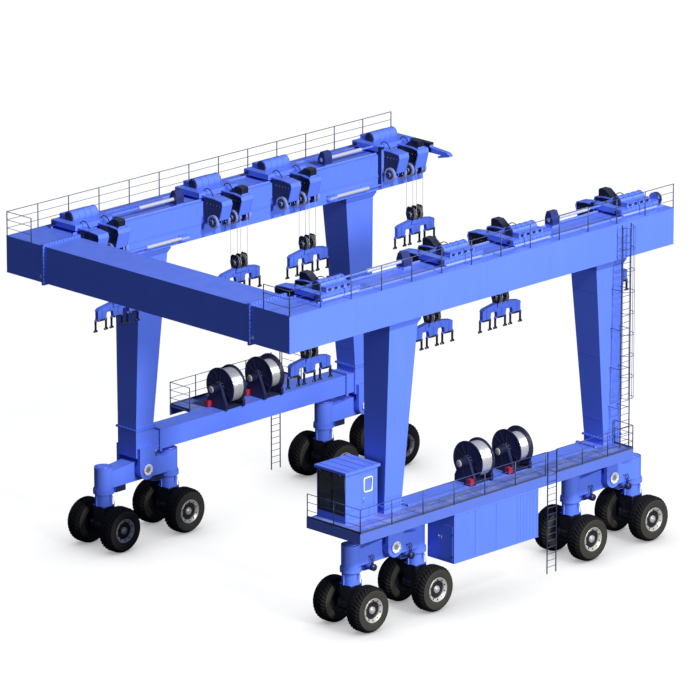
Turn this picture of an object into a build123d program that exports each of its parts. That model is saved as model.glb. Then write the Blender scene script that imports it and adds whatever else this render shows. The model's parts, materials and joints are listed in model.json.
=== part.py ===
from build123d import *
import os

# Mobile boat hoist: two side frames on steered wheel bogies, joined at the back by a
# crossbeam and open at the front, with eight hoist trolleys and sling spreaders.
# Millimetres. Origin: ground level, middle of the plan. +Z up, +Y towards the open
# front, +X to the side that carries the cab and the machinery house.

os.makedirs("parts", exist_ok=True)

# ---------------------------------------------------------------- overall frame
track_half = 7690.0         # centre plane to the middle of a side frame
girder_length = 23700.0
girder_width = 2050.0
girder_height = 1650.0
girder_top = 15000.0        # top of the girders above the ground
back_leg_y = -5240.0
front_leg_y = 8450.0
running_gap = 0.3           # between faces that slide or turn on each other

# ---------------------------------------------------------------- crossbeam splices
splice_inset = 1340.0       # track line to the bolted crossbeam joint
splice_lip = 90.0           # how far a splice flange stands out from the box
splice_thick = 60.0

# ---------------------------------------------------------------- legs
leg_foot_width = 1170.0     # along X, at the bottom
leg_foot_depth = 1050.0     # along Y, at the bottom
leg_head_width = 1560.0
leg_head_depth = 1700.0
leg_lean = 430.0            # head set towards the middle of the machine, along Y
leg_foot_z = 5100.0
haunch_height = 350.0
haunch_lip = 110.0
leg_flange_thick = 70.0
leg_flange_lip = 70.0

# ---------------------------------------------------------------- sills
sill_width = 1000.0
sill_height = 900.0
sill_top = 4840.0
sill_joint = 1000.0         # leg centre to the bolted sill joint
sill_flange_lip = 80.0
sill_flange_thick = 60.0

# ---------------------------------------------------------------- bogies
base_block_bottom = 3850.0
cheek_thick = 175.0
cheek_width = 900.0
cheek_top = 4300.0
pin_z = 3270.0
pin_radius = 200.0
pin_cap_radius = 260.0
pin_cap_thick = 45.0
rocker_top = 3650.0
rocker_bottom = 2750.0
rocker_width = 760.0
rocker_boss_radius = 430.0
cheek_play = 6.0            # rocker boss to cheek plate, each side
column_spacing_half = 1970.0
column_radius = 415.0
column_top = 3700.0
slew_plane = 2660.0         # where the steered yoke turns under the rocker
steer_box_length = 620.0
steer_box_width = 460.0
steer_box_height = 330.0
steer_motor_radius = 150.0
steer_motor_length = 260.0
steer_drive_gap = 40.0      # yoke collar to the steering gearbox
arm_end_drop = 150.0        # rocker top lower at its ends
yoke_collar_radius = 470.0
yoke_collar_height = 170.0
yoke_neck_radius = 390.0
yoke_waist_z = 1950.0
yoke_hub_radius = 330.0
yoke_hub_half = 500.0
yoke_waist = (680.0, 660.0)     # leg section at the waist, along X and Y
yoke_foot = (620.0, 560.0)      # leg section at the axle
axle_radius = 150.0

# ---------------------------------------------------------------- wheels
tyre_radius = 1020.0
tyre_width = 780.0
tyre_outer_x = 1400.0       # bogie centre to the outer sidewall
tyre_shoulder = 130.0
bead_width = 60.0           # sidewall to rim, across and along the axle
tread_share = 0.28          # half of the flat tread as a share of the tyre's width
rim_radius = 545.0
rim_recess = 150.0
rim_taper = 40.0            # rim narrower at the bottom of its recess
hub_radius = 235.0
hub_length = 110.0

# ---------------------------------------------------------------- trolleys
trolley_rail_inner = 885.0      # girder centre to the inner trolley rail
trolley_rail_outer = 520.0      # girder centre to the outer trolley rail
trolley_rail_width = 60.0
trolley_rail_height = 60.0
rail_setback = 100.0            # rail ends from the ends of the girder
guide_rail_rise = 620.0         # guide rail on the girder's inner face, above its bottom
guide_rail_height = 80.0
guide_rail_thick = 40.0
carriage_front = 700.0          # from the rope line towards the front
carriage_back = 1650.0          # from the rope line towards the back
carriage_gap = 70.0             # carriage underside above the rail head
carriage_height = 240.0
trolley_wheel_radius = 120.0
trolley_wheel_width = 110.0
rope_line_inset = 1740.0        # track line to the ropes
sheave_radius = 300.0
sheave_thick = 110.0
sheave_y = 200.0                # sheaves each side of the rope line
upper_sheave_drop = 800.0       # sheave axle under the girder top
sheave_axle_radius = 70.0
main_head_half = 320.0          # half the thickness of the head over the ropes
guide_head_start = 150.0        # guide head from the back of the carriage
guide_head_thick = 550.0
guide_sheave_y = 350.0          # guide sheaves each side of the guide head's middle
tongue_half = 170.0             # half the width of the plates that hold the sheave axle
tongue_thick = 40.0
rope_radius = 16.0
head_reach = 550.0              # rope line to the tip of a head over the bay
head_face_gap = 45.0            # heads to the girder's inner face
head_drop = 700.0               # underside of the heads below the girder top
head_rise = 250.0               # top of the heads above the girder top
head_chamfer = 60.0
head_heel = 250.0               # end of the heads on the carriage, from the track line
nose_slope = 220.0              # how far the nose runs back to the underside
tongue_edge = 30.0              # plate left under the sheave axle
horn_rise = 560.0               # top of the horn above the girder top
horn_front = 390.0              # horn from the rope line, over the bay and over the girder
horn_back = 430.0
horn_inset = 120.0              # horn faces inside the faces of its head
winch_radius = 270.0            # covered winch along the top of the carriage
winch_length = 1500.0
winch_lift = 130.0              # winch centre above the carriage
winch_inset = 80.0              # winch centre from the track line, towards the bay
valve_inset = 60.0              # valve box from the track line, outwards
valve_setback = 425.0           # valve box from both ends of the carriage
sheave_play = 15.0              # main head to its outer sheaves
trolley_wheel_inset = 260.0     # trolley wheels from the ends of the carriage
carriage_edges = (60.0, 90.0)   # carriage beyond its inner and outer rail
valve_box = (460.0, 210.0)      # width and height of the valve box
travel_motor_radius = 280.0     # on the last right trolley
travel_motor_length = 250.0
arm_reach = 1370.0              # cable arm of the last left trolley, over the bay
arm_width = 240.0
arm_depth = 170.0
arm_fall = 420.0                # end of the arm's lower branch below its top
arm_return = 700.0              # how far the lower branch runs back
trolley_y = (-7950.0, -500.0, 3750.0, 10580.0)

# ---------------------------------------------------------------- spreaders
spreader_thick = 180.0
spreader_drop = 3870.0          # feet of the spreader under the girder top
spreader_height = 560.0
spreader_peak = 130.0           # rise of the top edge at the middle
spreader_half = 1190.0
foot_spacing = 950.0
foot_width = 480.0
arch_height = 330.0
link_length = 470.0
link_offset = 310.0             # links each side of a foot's middle
link_size = 70.0
link_tee = 200.0
top_chamfer = (110.0, 90.0)     # at the ends of the spreader's top edge
crown_half = 300.0              # half of the flat crown over the middle foot
arch_slope = 60.0               # how far the side of an arch leans
rope_fall = 2120.0              # upper to lower sheave axle with the spreader at rest
block_plate_thick = 30.0
block_edge = 60.0               # side plate beyond the sheaves and into the base
block_cheek_gap = 85.0          # sheave middle to the side plate of its block
block_half = 230.0              # half the width of a block's side plate
block_waist = 130.0             # half its width at the foot and the top
block_foot = (150.0, 150.0)     # half width and height of the block's base

# ---------------------------------------------------------------- shifting cylinders
cylinder_radius = 85.0
cylinder_rod_radius = 48.0
cylinder_length = 2050.0
rod_overlap = 500.0         # piston rod left inside its barrel at rest
anchor_y = (-3300.0, 5900.0)    # anchor brackets of the back and front cylinders
anchor_size = 460.0
anchor_height = 700.0
anchor_shoulder = (350.0, 420.0)    # heights where the sides of the bracket turn in
top_cylinder_rise = 330.0       # above the girder top
low_cylinder_rise = 270.0       # above the girder bottom
top_cylinder_inset = 330.0      # from the girder's inner face
cylinder_margin = 60.0          # lower cylinder to the girder's face
hanger_width = 180.0            # arm that joins a trolley to its lower piston rod
hanger_thick = 160.0

# ---------------------------------------------------------------- rope reels
reel_y = (350.0, 2760.0)
reel_clearance = 75.0       # flange edge above the sill
reel_radius = 885.0
reel_flange_thick = 40.0
reel_width = 790.0
drum_radius = 700.0
reel_shaft_radius = 90.0
stand_base_height = 50.0
stand_width = 1180.0
stand_post = 150.0
bearing_gap = 60.0
stand_foot_height = 260.0   # upright part at the foot of a bearing post
bearing_half = (220.0, 120.0)   # half widths of the post at the bearing and at its top
bearing_rise = (120.0, 220.0)   # those levels above the shaft
reel_motor_radius = 210.0
reel_motor_length = 330.0
drive_box = (260.0, 220.0, 60.0, 300.0)     # width, depth, foot and top of the switch box

# ---------------------------------------------------------------- walkways and rails
walkway_reach = 1840.0      # track line to the outer edge of the walkways
walkway_ends = (-8480.0, 8520.0)
left_walkway_ends = (-1400.0, 5650.0)
deck_thick = 60.0
fascia_height = 450.0
fascia_thick = 50.0
bracket_width = 120.0
bracket_height = 180.0
cab_deck_inset = 1390.0     # track line to the bay edge of the cab deck
cab_deck_end = -5765.0
handrail_height = 1100.0
post_size = 50.0
rail_size = 40.0
post_pitch = 1760.0
corner_rail_length = 1540.0
ladder_width = 620.0
stile_size = 60.0
rung_size = 30.0
rung_pitch = 300.0
ground_ladder_foot = 350.0
right_ladder_y = 3300.0
left_ladder_y = 5280.0
leg_ladder_offset = 1360.0  # track line to the ladder beside the front leg

# ---------------------------------------------------------------- machinery house
house_offset = 250.0        # track line to the inner wall of the house
house_ends = (-2770.0, 2470.0)
house_clearance = 130.0     # house floor above the top of the tyres

# ---------------------------------------------------------------- cab
cab_sides = (-1290.0, 430.0)    # bay side and outer side from the track line
cab_y = (-7950.0, -6030.0)
cab_height = 2300.0
cab_wall = 60.0
cab_roof_over = 90.0
cab_roof_thick = 110.0
door_width = 780.0
door_height = 1950.0
door_gap = 8.0
door_thick = 50.0
door_window = (430.0, 560.0)
door_hinge_y = -6200.0
window_sill = 900.0
low_sill = 350.0            # lower edge of the big front window
glass_thick = 12.0
window_drop = 250.0         # door window under the top of the door
hinge_radius = 12.0
hinge_length = 1500.0
seat_width = 460.0
seat_depth = 450.0
seat_height = 480.0         # above the floor beams
seat_back_height = 1050.0
seat_back_thick = 100.0
seat_setback = 450.0        # back of the seat from the rear wall
console_width = 900.0
console_depth = 340.0
console_height = 800.0

# ---------------------------------------------------------------- worked-out places
splice_x = track_half - splice_inset
rope_line_x = track_half - rope_line_inset
girder_inner = track_half - girder_width / 2
girder_outer = track_half + girder_width / 2
girder_bottom = girder_top - girder_height
frame_back = -girder_length / 2
frame_front = girder_length / 2
crossbeam_front = frame_back + girder_width
leg_head_z = girder_bottom - haunch_height
sill_bottom = sill_top - sill_height
base_half = leg_foot_width / 2
yoke_height = slew_plane - running_gap
rail_head_z = girder_top + trolley_rail_height
carriage_low = rail_head_z + carriage_gap
carriage_high = carriage_low + carriage_height
head_inner_x = rope_line_x - head_reach
head_bottom_z = girder_top - head_drop
head_top_z = girder_top + head_rise
horn_top_z = girder_top + horn_rise
upper_sheave_z = girder_top - upper_sheave_drop
lower_sheave_z = upper_sheave_z - rope_fall
spreader_foot_z = girder_top - spreader_drop
top_cylinder_x = girder_inner + top_cylinder_inset
top_cylinder_z = girder_top + top_cylinder_rise
low_cylinder_x = girder_inner - cylinder_radius - cylinder_margin
low_cylinder_z = girder_bottom + low_cylinder_rise
reel_z = sill_top + reel_clearance + reel_radius
walkway_inner = track_half + base_half
walkway_outer = track_half + walkway_reach
cab_deck_inner = track_half - cab_deck_inset
leg_ladder_x = track_half + leg_ladder_offset
house_inner_x = track_half + house_offset
house_bottom = 2 * tyre_radius + house_clearance
cab_x = tuple(track_half + offset for offset in cab_sides)
fascia_bottom = sill_top - fascia_height
legs_y = {"back": back_leg_y, "front": front_leg_y}
sides = {"left": -1, "right": 1}


# ---------------------------------------------------------------- shape helpers
def block(x0, x1, y0, y1, z0, z1):
    """A box between two corners, given in any order."""
    size = (abs(x1 - x0), abs(y1 - y0), abs(z1 - z0))
    return Pos((x0 + x1) / 2, (y0 + y1) / 2, (z0 + z1) / 2) * Box(*size)


def rod(direction, x, y, z, radius, length):
    """A round bar about a centre point, along x, y or z."""
    turns = {"x": Rot(0, 90, 0), "y": Rot(90, 0, 0), "z": Rot(0, 0, 0)}
    return Pos(x, y, z) * turns[direction] * Cylinder(radius, length)


def plate_xz(points, y0, y1):
    """A plate with its outline in X and Z, from y0 up to y1."""
    outline = make_face(Polyline(*points, close=True))
    return extrude(Plane.XZ.offset(-y1) * outline, amount=y1 - y0)


def plate_yz(points, x0, x1):
    """A plate with its outline in Y and Z, from x0 up to x1."""
    outline = make_face(Polyline(*points, close=True))
    return extrude(Plane.YZ.offset(x0) * outline, amount=x1 - x0)


def taper(x0, y0, z0, size0, x1, y1, z1, size1):
    """A box that changes its plan size between two heights."""
    low = Pos(x0, y0, z0) * Rectangle(*size0)
    high = Pos(x1, y1, z1) * Rectangle(*size1)
    return loft([low.face(), high.face()], ruled=True)


def on_side(shape, side):
    """The right-hand shape itself, or its mirror image on the left."""
    return shape if side == "right" else mirror(shape, about=Plane.YZ)


def write(name, shapes):
    """Save the solids of one node."""
    solids = [solid for shape in shapes for solid in shape.solids()]
    whole = solids[0] if len(solids) == 1 else Compound(children=solids)
    export_step(whole, f"parts/{name}.step")


# ---------------------------------------------------------------- upper frame
def splice_flange(x):
    """Flange plate all round the box section, at a crossbeam joint."""
    half = splice_thick
    return block(
        x - half, x, frame_back - splice_lip, crossbeam_front + splice_lip,
        girder_bottom - splice_lip, girder_top + splice_lip,
    )


def crossbeam():
    half = splice_x
    beam = block(-half, half, frame_back, crossbeam_front, girder_bottom, girder_top)
    right = splice_flange(splice_x)
    return beam + right + mirror(right, about=Plane.YZ)


def shift_cylinder(anchor, toward_back, x, z):
    """Barrel of a trolley shifting cylinder, fixed to its anchor bracket."""
    turn = -1 if toward_back else 1
    near = anchor + turn * anchor_size / 2
    middle = near + turn * cylinder_length / 2
    barrel = rod("y", x, middle, z, cylinder_radius, cylinder_length)
    bore = rod("y", x, middle, z, cylinder_rod_radius + running_gap, cylinder_length)
    return barrel - bore


def anchor_bracket(anchor, x):
    """Bracket on the girder top that holds a shifting cylinder."""
    half = anchor_size / 2
    right_shoulder, left_shoulder = anchor_shoulder
    outline = [
        (x - half, girder_top), (x + half, girder_top),
        (x + half, girder_top + right_shoulder),
        (x + half * 0.3, girder_top + anchor_height),
        (x - half * 0.6, girder_top + anchor_height),
        (x - half, girder_top + left_shoulder),
    ]
    return plate_xz(outline, anchor - half, anchor + half)


def low_anchor(anchor):
    """Bracket on the girder's inner face that holds the lower cylinder."""
    reach = 2 * cylinder_radius + cylinder_margin
    half = anchor_size / 2
    return block(
        girder_inner - reach, girder_inner, anchor - half, anchor + half,
        low_cylinder_z - reach / 2, low_cylinder_z + reach / 2,
    )


def girder(side):
    """Box girder with its corner piece, trolley rails and cylinder barrels."""
    body = block(
        girder_inner, girder_outer, frame_back, frame_front, girder_bottom, girder_top,
    )
    body += block(
        splice_x, girder_inner, frame_back, crossbeam_front, girder_bottom, girder_top,
    )
    body += Pos(splice_thick, 0, 0) * splice_flange(splice_x)
    rail_back = crossbeam_front + rail_setback
    rail_front = frame_front - rail_setback
    half = trolley_rail_width / 2
    for rail_x in (track_half - trolley_rail_inner, track_half + trolley_rail_outer):
        body += block(
            rail_x - half, rail_x + half, rail_back, rail_front, girder_top, rail_head_z,
        )
    guide_low = girder_bottom + guide_rail_rise
    body += block(
        girder_inner - guide_rail_thick, girder_inner, rail_back, rail_front,
        guide_low, guide_low + guide_rail_height,
    )
    for anchor, toward_back in zip(anchor_y, (True, False)):
        body += anchor_bracket(anchor, top_cylinder_x)
        body += low_anchor(anchor)
        body += shift_cylinder(anchor, toward_back, top_cylinder_x, top_cylinder_z)
        body += shift_cylinder(anchor, toward_back, low_cylinder_x, low_cylinder_z)
    return on_side(body, side)


# ---------------------------------------------------------------- legs and sills
def leg(end, side):
    y = legs_y[end]
    inward = 1 if end == "back" else -1
    head_y = y + inward * leg_lean
    flange = (leg_foot_width + 2 * leg_flange_lip, leg_foot_depth + 2 * leg_flange_lip)
    foot = Pos(track_half, y, leg_foot_z + leg_flange_thick / 2) * Box(
        *flange, leg_flange_thick)
    shaft_z = leg_foot_z + leg_flange_thick
    shaft = taper(
        track_half, y, shaft_z, (leg_foot_width, leg_foot_depth),
        track_half, head_y, leg_head_z, (leg_head_width, leg_head_depth),
    )
    head = (leg_head_width + 2 * haunch_lip, leg_head_depth + 2 * haunch_lip)
    haunch = taper(
        track_half, head_y, leg_head_z, (leg_head_width, leg_head_depth),
        track_half, head_y, leg_head_z + haunch_height * 0.6, head,
    )
    cap = block(
        track_half - head[0] / 2, track_half + head[0] / 2,
        head_y - head[1] / 2, head_y + head[1] / 2,
        leg_head_z + haunch_height * 0.6, girder_bottom,
    )
    return on_side(foot + shaft + haunch + cap, side)


def cheek(x0, y):
    """Plate that hangs beside the rocker, with a round end about the pin."""
    half = cheek_width / 2
    plate = block(x0, x0 + cheek_thick, y - half, y + half, pin_z, cheek_top)
    return plate + rod("x", x0 + cheek_thick / 2, y, pin_z, half, cheek_thick)


def saddle(end, side):
    """Block under a leg, with the cheeks and pin that carry the rocker."""
    y = legs_y[end]
    inward = 1 if end == "back" else -1
    depth = leg_foot_depth / 2
    body = block(
        track_half - base_half, track_half + base_half, y - depth, y + depth,
        base_block_bottom, leg_foot_z,
    )
    half = sill_width / 2
    joint = y + inward * sill_joint
    body += block(
        track_half - half, track_half + half, y + inward * depth, joint,
        sill_bottom, sill_top,
    )
    body += sill_flange(joint, -inward)
    body += cheek(track_half + base_half, y)
    body += cheek(track_half - base_half - cheek_thick, y)
    outer = base_half + cheek_thick
    body += rod("x", track_half, y, pin_z, pin_radius, 2 * outer)
    for turn in (-1, 1):
        cap_x = track_half + turn * (outer + pin_cap_thick / 2)
        body += rod("x", cap_x, y, pin_z, pin_cap_radius, pin_cap_thick)
    return on_side(body, side)


def sill_flange(y, turn):
    """Bolted plate round the end of a sill, on the side that turn points to."""
    half = sill_width / 2 + sill_flange_lip
    return block(
        track_half - half, track_half + half, y, y + turn * sill_flange_thick,
        sill_bottom - sill_flange_lip, sill_top + sill_flange_lip,
    )


def sill(side):
    back = back_leg_y + sill_joint
    front = front_leg_y - sill_joint
    half = sill_width / 2
    body = block(
        track_half - half, track_half + half, back, front, sill_bottom, sill_top,
    )
    return on_side(body + sill_flange(back, 1) + sill_flange(front, -1), side)


# ---------------------------------------------------------------- bogies
def rocker(end, side):
    """Rocking beam with a steering column at each end."""
    y = legs_y[end]
    arm = column_spacing_half
    outline = [
        (y - arm, rocker_bottom), (y + arm, rocker_bottom),
        (y + arm, rocker_top - arm_end_drop),
        (y + cheek_width / 2, rocker_top), (y - cheek_width / 2, rocker_top),
        (y - arm, rocker_top - arm_end_drop),
    ]
    half = rocker_width / 2
    body = plate_yz(outline, track_half - half, track_half + half)
    boss = 2 * (base_half - cheek_play)
    body += rod("x", track_half, y, pin_z, rocker_boss_radius, boss)
    for turn in (-1, 1):
        column_y = y + turn * arm
        middle = (column_top + slew_plane) / 2
        height = column_top - slew_plane
        body += rod("z", track_half, column_y, middle, column_radius, height)
        drive_gap = yoke_collar_radius + steer_drive_gap + steer_box_length / 2
        body += steering_drive(column_y - turn * drive_gap)
    bore = pin_radius + running_gap
    body -= rod("x", track_half, y, pin_z, bore, 2 * base_half)
    return on_side(body, side)


def steering_drive(y):
    """Gearbox under the rocker with its motor, beside a steering column."""
    top = rocker_bottom
    half = steer_box_length / 2
    wide = steer_box_width / 2
    box = block(
        track_half - wide, track_half + wide, y - half, y + half,
        top - steer_box_height, top,
    )
    motor_z = top - steer_box_height / 2
    motor_x = track_half + wide + steer_motor_length / 2
    return box + rod("x", motor_x, y, motor_z, steer_motor_radius, steer_motor_length)


def yoke(end, side, place):
    """Steered leg that hangs under the rocker and holds the axle."""
    y = legs_y[end] + (-column_spacing_half if place == "a" else column_spacing_half)
    collar_low = yoke_height - yoke_collar_height
    body = rod(
        "z", track_half, y, yoke_height - yoke_collar_height / 2,
        yoke_collar_radius, yoke_collar_height,
    )
    neck = (collar_low + yoke_waist_z) / 2
    body += rod("z", track_half, y, neck, yoke_neck_radius, collar_low - yoke_waist_z)
    body += taper(
        track_half, y, tyre_radius, yoke_foot, track_half, y, yoke_waist_z, yoke_waist,
    )
    body += rod("x", track_half, y, tyre_radius, yoke_hub_radius, 2 * yoke_hub_half)
    bore = axle_radius + running_gap
    body -= rod("x", track_half, y, tyre_radius, bore, 2 * yoke_hub_half)
    return on_side(body, side)


def wheel_pair(end, side, place):
    """Two tyres on one axle, turned as one profile about the axle line."""
    y = legs_y[end] + (-column_spacing_half if place == "a" else column_spacing_half)
    inner_x = tyre_outer_x - tyre_width
    mid_x = tyre_outer_x - tyre_width / 2
    half = [
        (0, axle_radius), (inner_x + bead_width, axle_radius),
        (inner_x + bead_width, rim_radius), (inner_x, rim_radius + bead_width),
        (inner_x, tyre_radius - tyre_shoulder),
        (inner_x + tyre_shoulder * 0.6, tyre_radius - tyre_shoulder * 0.3),
        (mid_x - tyre_width * tread_share, tyre_radius),
        (mid_x + tyre_width * tread_share, tyre_radius),
        (tyre_outer_x - tyre_shoulder * 0.6, tyre_radius - tyre_shoulder * 0.3),
        (tyre_outer_x, tyre_radius - tyre_shoulder),
        (tyre_outer_x, rim_radius + bead_width), (tyre_outer_x - bead_width, rim_radius),
        (tyre_outer_x - rim_recess, rim_radius - rim_taper),
        (tyre_outer_x - rim_recess, hub_radius),
        (tyre_outer_x - rim_recess + hub_length, hub_radius),
        (tyre_outer_x - rim_recess + hub_length, 0),
    ]
    other = [(-x, r) for x, r in reversed(half)]
    profile = make_face(Polyline(*(other[:-1] + half), close=True))
    body = Pos(track_half, y, tyre_radius) * revolve(profile, axis=Axis.X)
    return on_side(body, side)


# ---------------------------------------------------------------- trolleys
def trolley_head(back, front, horn):
    """Hanging head over the bay: a thick plate with a sloping nose."""
    face = girder_inner - head_face_gap
    heel = track_half - head_heel
    top = head_top_z
    outline = [
        (face, head_bottom_z + head_chamfer), (face, carriage_low), (heel, carriage_low),
        (heel, top), (rope_line_x, top),
        (head_inner_x + head_chamfer, top - head_chamfer),
        (head_inner_x, top - 4 * head_chamfer),
        (head_inner_x + nose_slope, head_bottom_z), (face - nose_slope, head_bottom_z),
    ]
    body = plate_xz(outline, back, front)
    middle = (back + front) / 2
    tongue_low = upper_sheave_z - sheave_axle_radius - tongue_edge
    for place in (back, middle - tongue_thick / 2, front - tongue_thick):
        body += block(
            rope_line_x - tongue_half, rope_line_x + tongue_half, place,
            place + tongue_thick, tongue_low, head_bottom_z,
        )
    if horn:
        tip = rope_line_x - horn_front
        heel = rope_line_x + horn_back
        sunk = top - head_chamfer - 1
        peak = [
            (tip, sunk), (tip, horn_top_z - head_chamfer), (tip + head_chamfer, horn_top_z),
            (rope_line_x, horn_top_z), (heel, top), (heel, sunk),
        ]
        body += plate_xz(peak, back + horn_inset, front - horn_inset)
    return body


def sheave_set(y, places, axle_half):
    """Upper sheaves on one axle along Y, under a trolley head."""
    body = rod("y", rope_line_x, y, upper_sheave_z, sheave_axle_radius, 2 * axle_half)
    for place in places:
        body += rod(
            "y", rope_line_x, y + place, upper_sheave_z, sheave_radius, sheave_thick,
        )
    return body


def cable_arm(y, inner):
    """Bent arm over the bay, on a bar from the carriage of the last left trolley."""
    top = head_top_z - head_chamfer
    start = head_inner_x + nose_slope
    tip = start - arm_reach
    outline = [
        (start, top), (tip + arm_depth, top - arm_depth / 2), (tip, top - arm_depth),
        (tip, top - 1.5 * arm_depth), (tip + arm_return, top - arm_fall),
        (tip + arm_return, top - arm_fall + arm_depth / 2),
        (tip + 2 * arm_depth, top - 1.5 * arm_depth), (start, top - 1.5 * arm_depth),
    ]
    back, front = y - arm_width / 2, y + arm_width / 2
    bar = block(start - arm_depth, inner + arm_depth, back, front, carriage_low, carriage_high)
    return bar + plate_xz(outline, back, front)


def shift_rod(number, side_x, z):
    """Piston rod between a trolley and its shifting cylinder."""
    y = trolley_y[number - 1]
    if number == 1:
        start = y + carriage_front
        end = anchor_y[0] - anchor_size / 2 - cylinder_length + rod_overlap
    else:
        start = anchor_y[1] + anchor_size / 2 + cylinder_length - rod_overlap
        end = y - carriage_back
    return rod("y", side_x, (start + end) / 2, z, cylinder_rod_radius, end - start)


def trolley(side, number):
    """Carriage on the girder rails, with two sheave heads over the bay."""
    y = trolley_y[number - 1]
    high = carriage_high
    outer = track_half + trolley_rail_outer + carriage_edges[1]
    inner = track_half - trolley_rail_inner - carriage_edges[0]
    back = y - carriage_back
    front = y + carriage_front
    body = block(inner, outer, back, front, carriage_low, high)
    for rail_x in (track_half - trolley_rail_inner, track_half + trolley_rail_outer):
        for wheel_y in (back + trolley_wheel_inset, front - trolley_wheel_inset):
            wheel_z = rail_head_z + trolley_wheel_radius + running_gap
            body += rod(
                "x", rail_x, wheel_y, wheel_z, trolley_wheel_radius, trolley_wheel_width,
            )
    half = main_head_half
    body += trolley_head(y - half, y + half, True)
    guide_back = back + guide_head_start
    body += trolley_head(guide_back, guide_back + guide_head_thick, False)
    winch_y = (back + front) / 2
    body += rod(
        "y", track_half - winch_inset, winch_y, high + winch_lift, winch_radius,
        winch_length,
    )
    box_width, box_height = valve_box
    box_x = track_half + valve_inset
    body += block(
        box_x, box_x + box_width, back + valve_setback, front - valve_setback,
        high, high + box_height,
    )
    outside = half + sheave_thick / 2 + sheave_play
    places = (-outside, -sheave_y, sheave_y, outside)
    body += sheave_set(y, places, outside + sheave_thick)
    guide_y = guide_back + guide_head_thick / 2
    guides = (-guide_sheave_y, guide_sheave_y)
    body += sheave_set(guide_y, guides, guide_sheave_y + sheave_thick)
    if number in (1, 4):
        body += rod_hanger(number, inner)
    if (side, number) == ("left", 4):
        body += cable_arm(front - arm_width / 2, inner)
    if (side, number) == ("right", 4):
        motor_y = front + travel_motor_length / 2 - 1
        body += rod(
            "y", outer - travel_motor_radius, motor_y, high, travel_motor_radius,
            travel_motor_length,
        )
    return on_side(body, side)


def rod_hanger(number, inner):
    """Piston rods of a shifted trolley, and the arm down to the lower one."""
    y = trolley_y[number - 1]
    end, turn = (y + carriage_front, -1) if number == 1 else (y - carriage_back, 1)
    half = hanger_width / 2
    near, far = end, end + turn * hanger_thick
    body = shift_rod(number, top_cylinder_x, top_cylinder_z)
    body += shift_rod(number, low_cylinder_x, low_cylinder_z)
    body += block(
        low_cylinder_x - half, low_cylinder_x + half, near, far,
        low_cylinder_z - half, carriage_high,
    )
    return body + block(
        low_cylinder_x - half, inner, near, far, carriage_low, carriage_high)


def ropes(side, number):
    """Four falls of hoist rope between the upper and lower sheaves."""
    y = trolley_y[number - 1]
    fall = sheave_radius + rope_radius + running_gap
    middle = (upper_sheave_z + lower_sheave_z) / 2
    length = upper_sheave_z - lower_sheave_z
    falls = []
    for turn in (-1, 1):
        for place in (-sheave_y, sheave_y):
            x = rope_line_x + turn * fall
            falls.append(rod("z", x, y + place, middle, rope_radius, length))
    return [on_side(one, side) for one in falls]


# ---------------------------------------------------------------- spreaders
def spreader_plate(y):
    """Plate beam with three feet and two arches between them."""
    foot = spreader_foot_z
    top = foot + spreader_height
    half = spreader_half
    reach = foot_width / 2
    cut_y, cut_z = top_chamfer
    outline = [
        (y - half, foot), (y - half, top - cut_z), (y - half + cut_y, top),
        (y - crown_half, top + spreader_peak), (y + crown_half, top + spreader_peak),
        (y + half - cut_y, top), (y + half, top - cut_z), (y + half, foot),
        (y + foot_spacing - reach, foot),
        (y + foot_spacing - reach - arch_slope, foot + arch_height),
        (y + reach + arch_slope, foot + arch_height), (y + reach, foot),
        (y - reach, foot), (y - reach - arch_slope, foot + arch_height),
        (y - foot_spacing + reach + arch_slope, foot + arch_height),
        (y - foot_spacing + reach, foot),
    ]
    half_thick = spreader_thick / 2
    return plate_yz(outline, rope_line_x - half_thick, rope_line_x + half_thick)


def sling_link(y):
    """Hanging link with a cross bar at its foot, for a sling eye."""
    half = link_size / 2
    low = spreader_foot_z - link_length
    x0 = rope_line_x - half
    x1 = rope_line_x + half
    stem = block(x0, x1, y - half, y + half, low, spreader_foot_z + link_size)
    return stem + block(
        x0, x1, y - link_tee / 2, y + link_tee / 2, low, low + link_size)


def lower_block(y):
    """Rope block on the spreader: sheaves between side plates under a cap plate."""
    base = spreader_foot_z + spreader_height
    waist = lower_sheave_z - block_edge
    top = lower_sheave_z + sheave_radius + block_edge
    shoulder = top - 2 * block_edge
    x = rope_line_x
    outline = [
        (x - block_waist, base - block_edge), (x + block_waist, base - block_edge),
        (x + block_half, waist), (x + block_half, shoulder), (x + block_waist, top),
        (x - block_waist, top), (x - block_half, shoulder), (x - block_half, waist),
    ]
    thick = block_plate_thick
    face = sheave_y + block_cheek_gap
    places = (-face - thick, -thick / 2, face)
    body = plate_xz(outline, y + places[0], y + places[0] + thick)
    for place in places[1:]:
        body += plate_xz(outline, y + place, y + place + thick)
    axle = 2 * (face + 2 * thick)
    body += rod("y", rope_line_x, y, lower_sheave_z, sheave_axle_radius, axle)
    for place in (-sheave_y, sheave_y):
        body += rod(
            "y", rope_line_x, y + place, lower_sheave_z, sheave_radius, sheave_thick,
        )
    half, height = block_foot
    foot = face + thick
    return body + block(
        x - half, x + half, y - foot, y + foot, base - block_edge, base + height)


def spreader(side, number):
    y = trolley_y[number - 1]
    body = spreader_plate(y) + lower_block(y)
    half = link_size / 2
    for foot in (-foot_spacing, 0, foot_spacing):
        body += block(
            rope_line_x - half, rope_line_x + half,
            y + foot - link_offset, y + foot + link_offset,
            spreader_foot_z, spreader_foot_z + link_size,
        )
        for turn in (-1, 1):
            body += sling_link(y + foot + turn * link_offset)
    return on_side(body, side)


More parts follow.
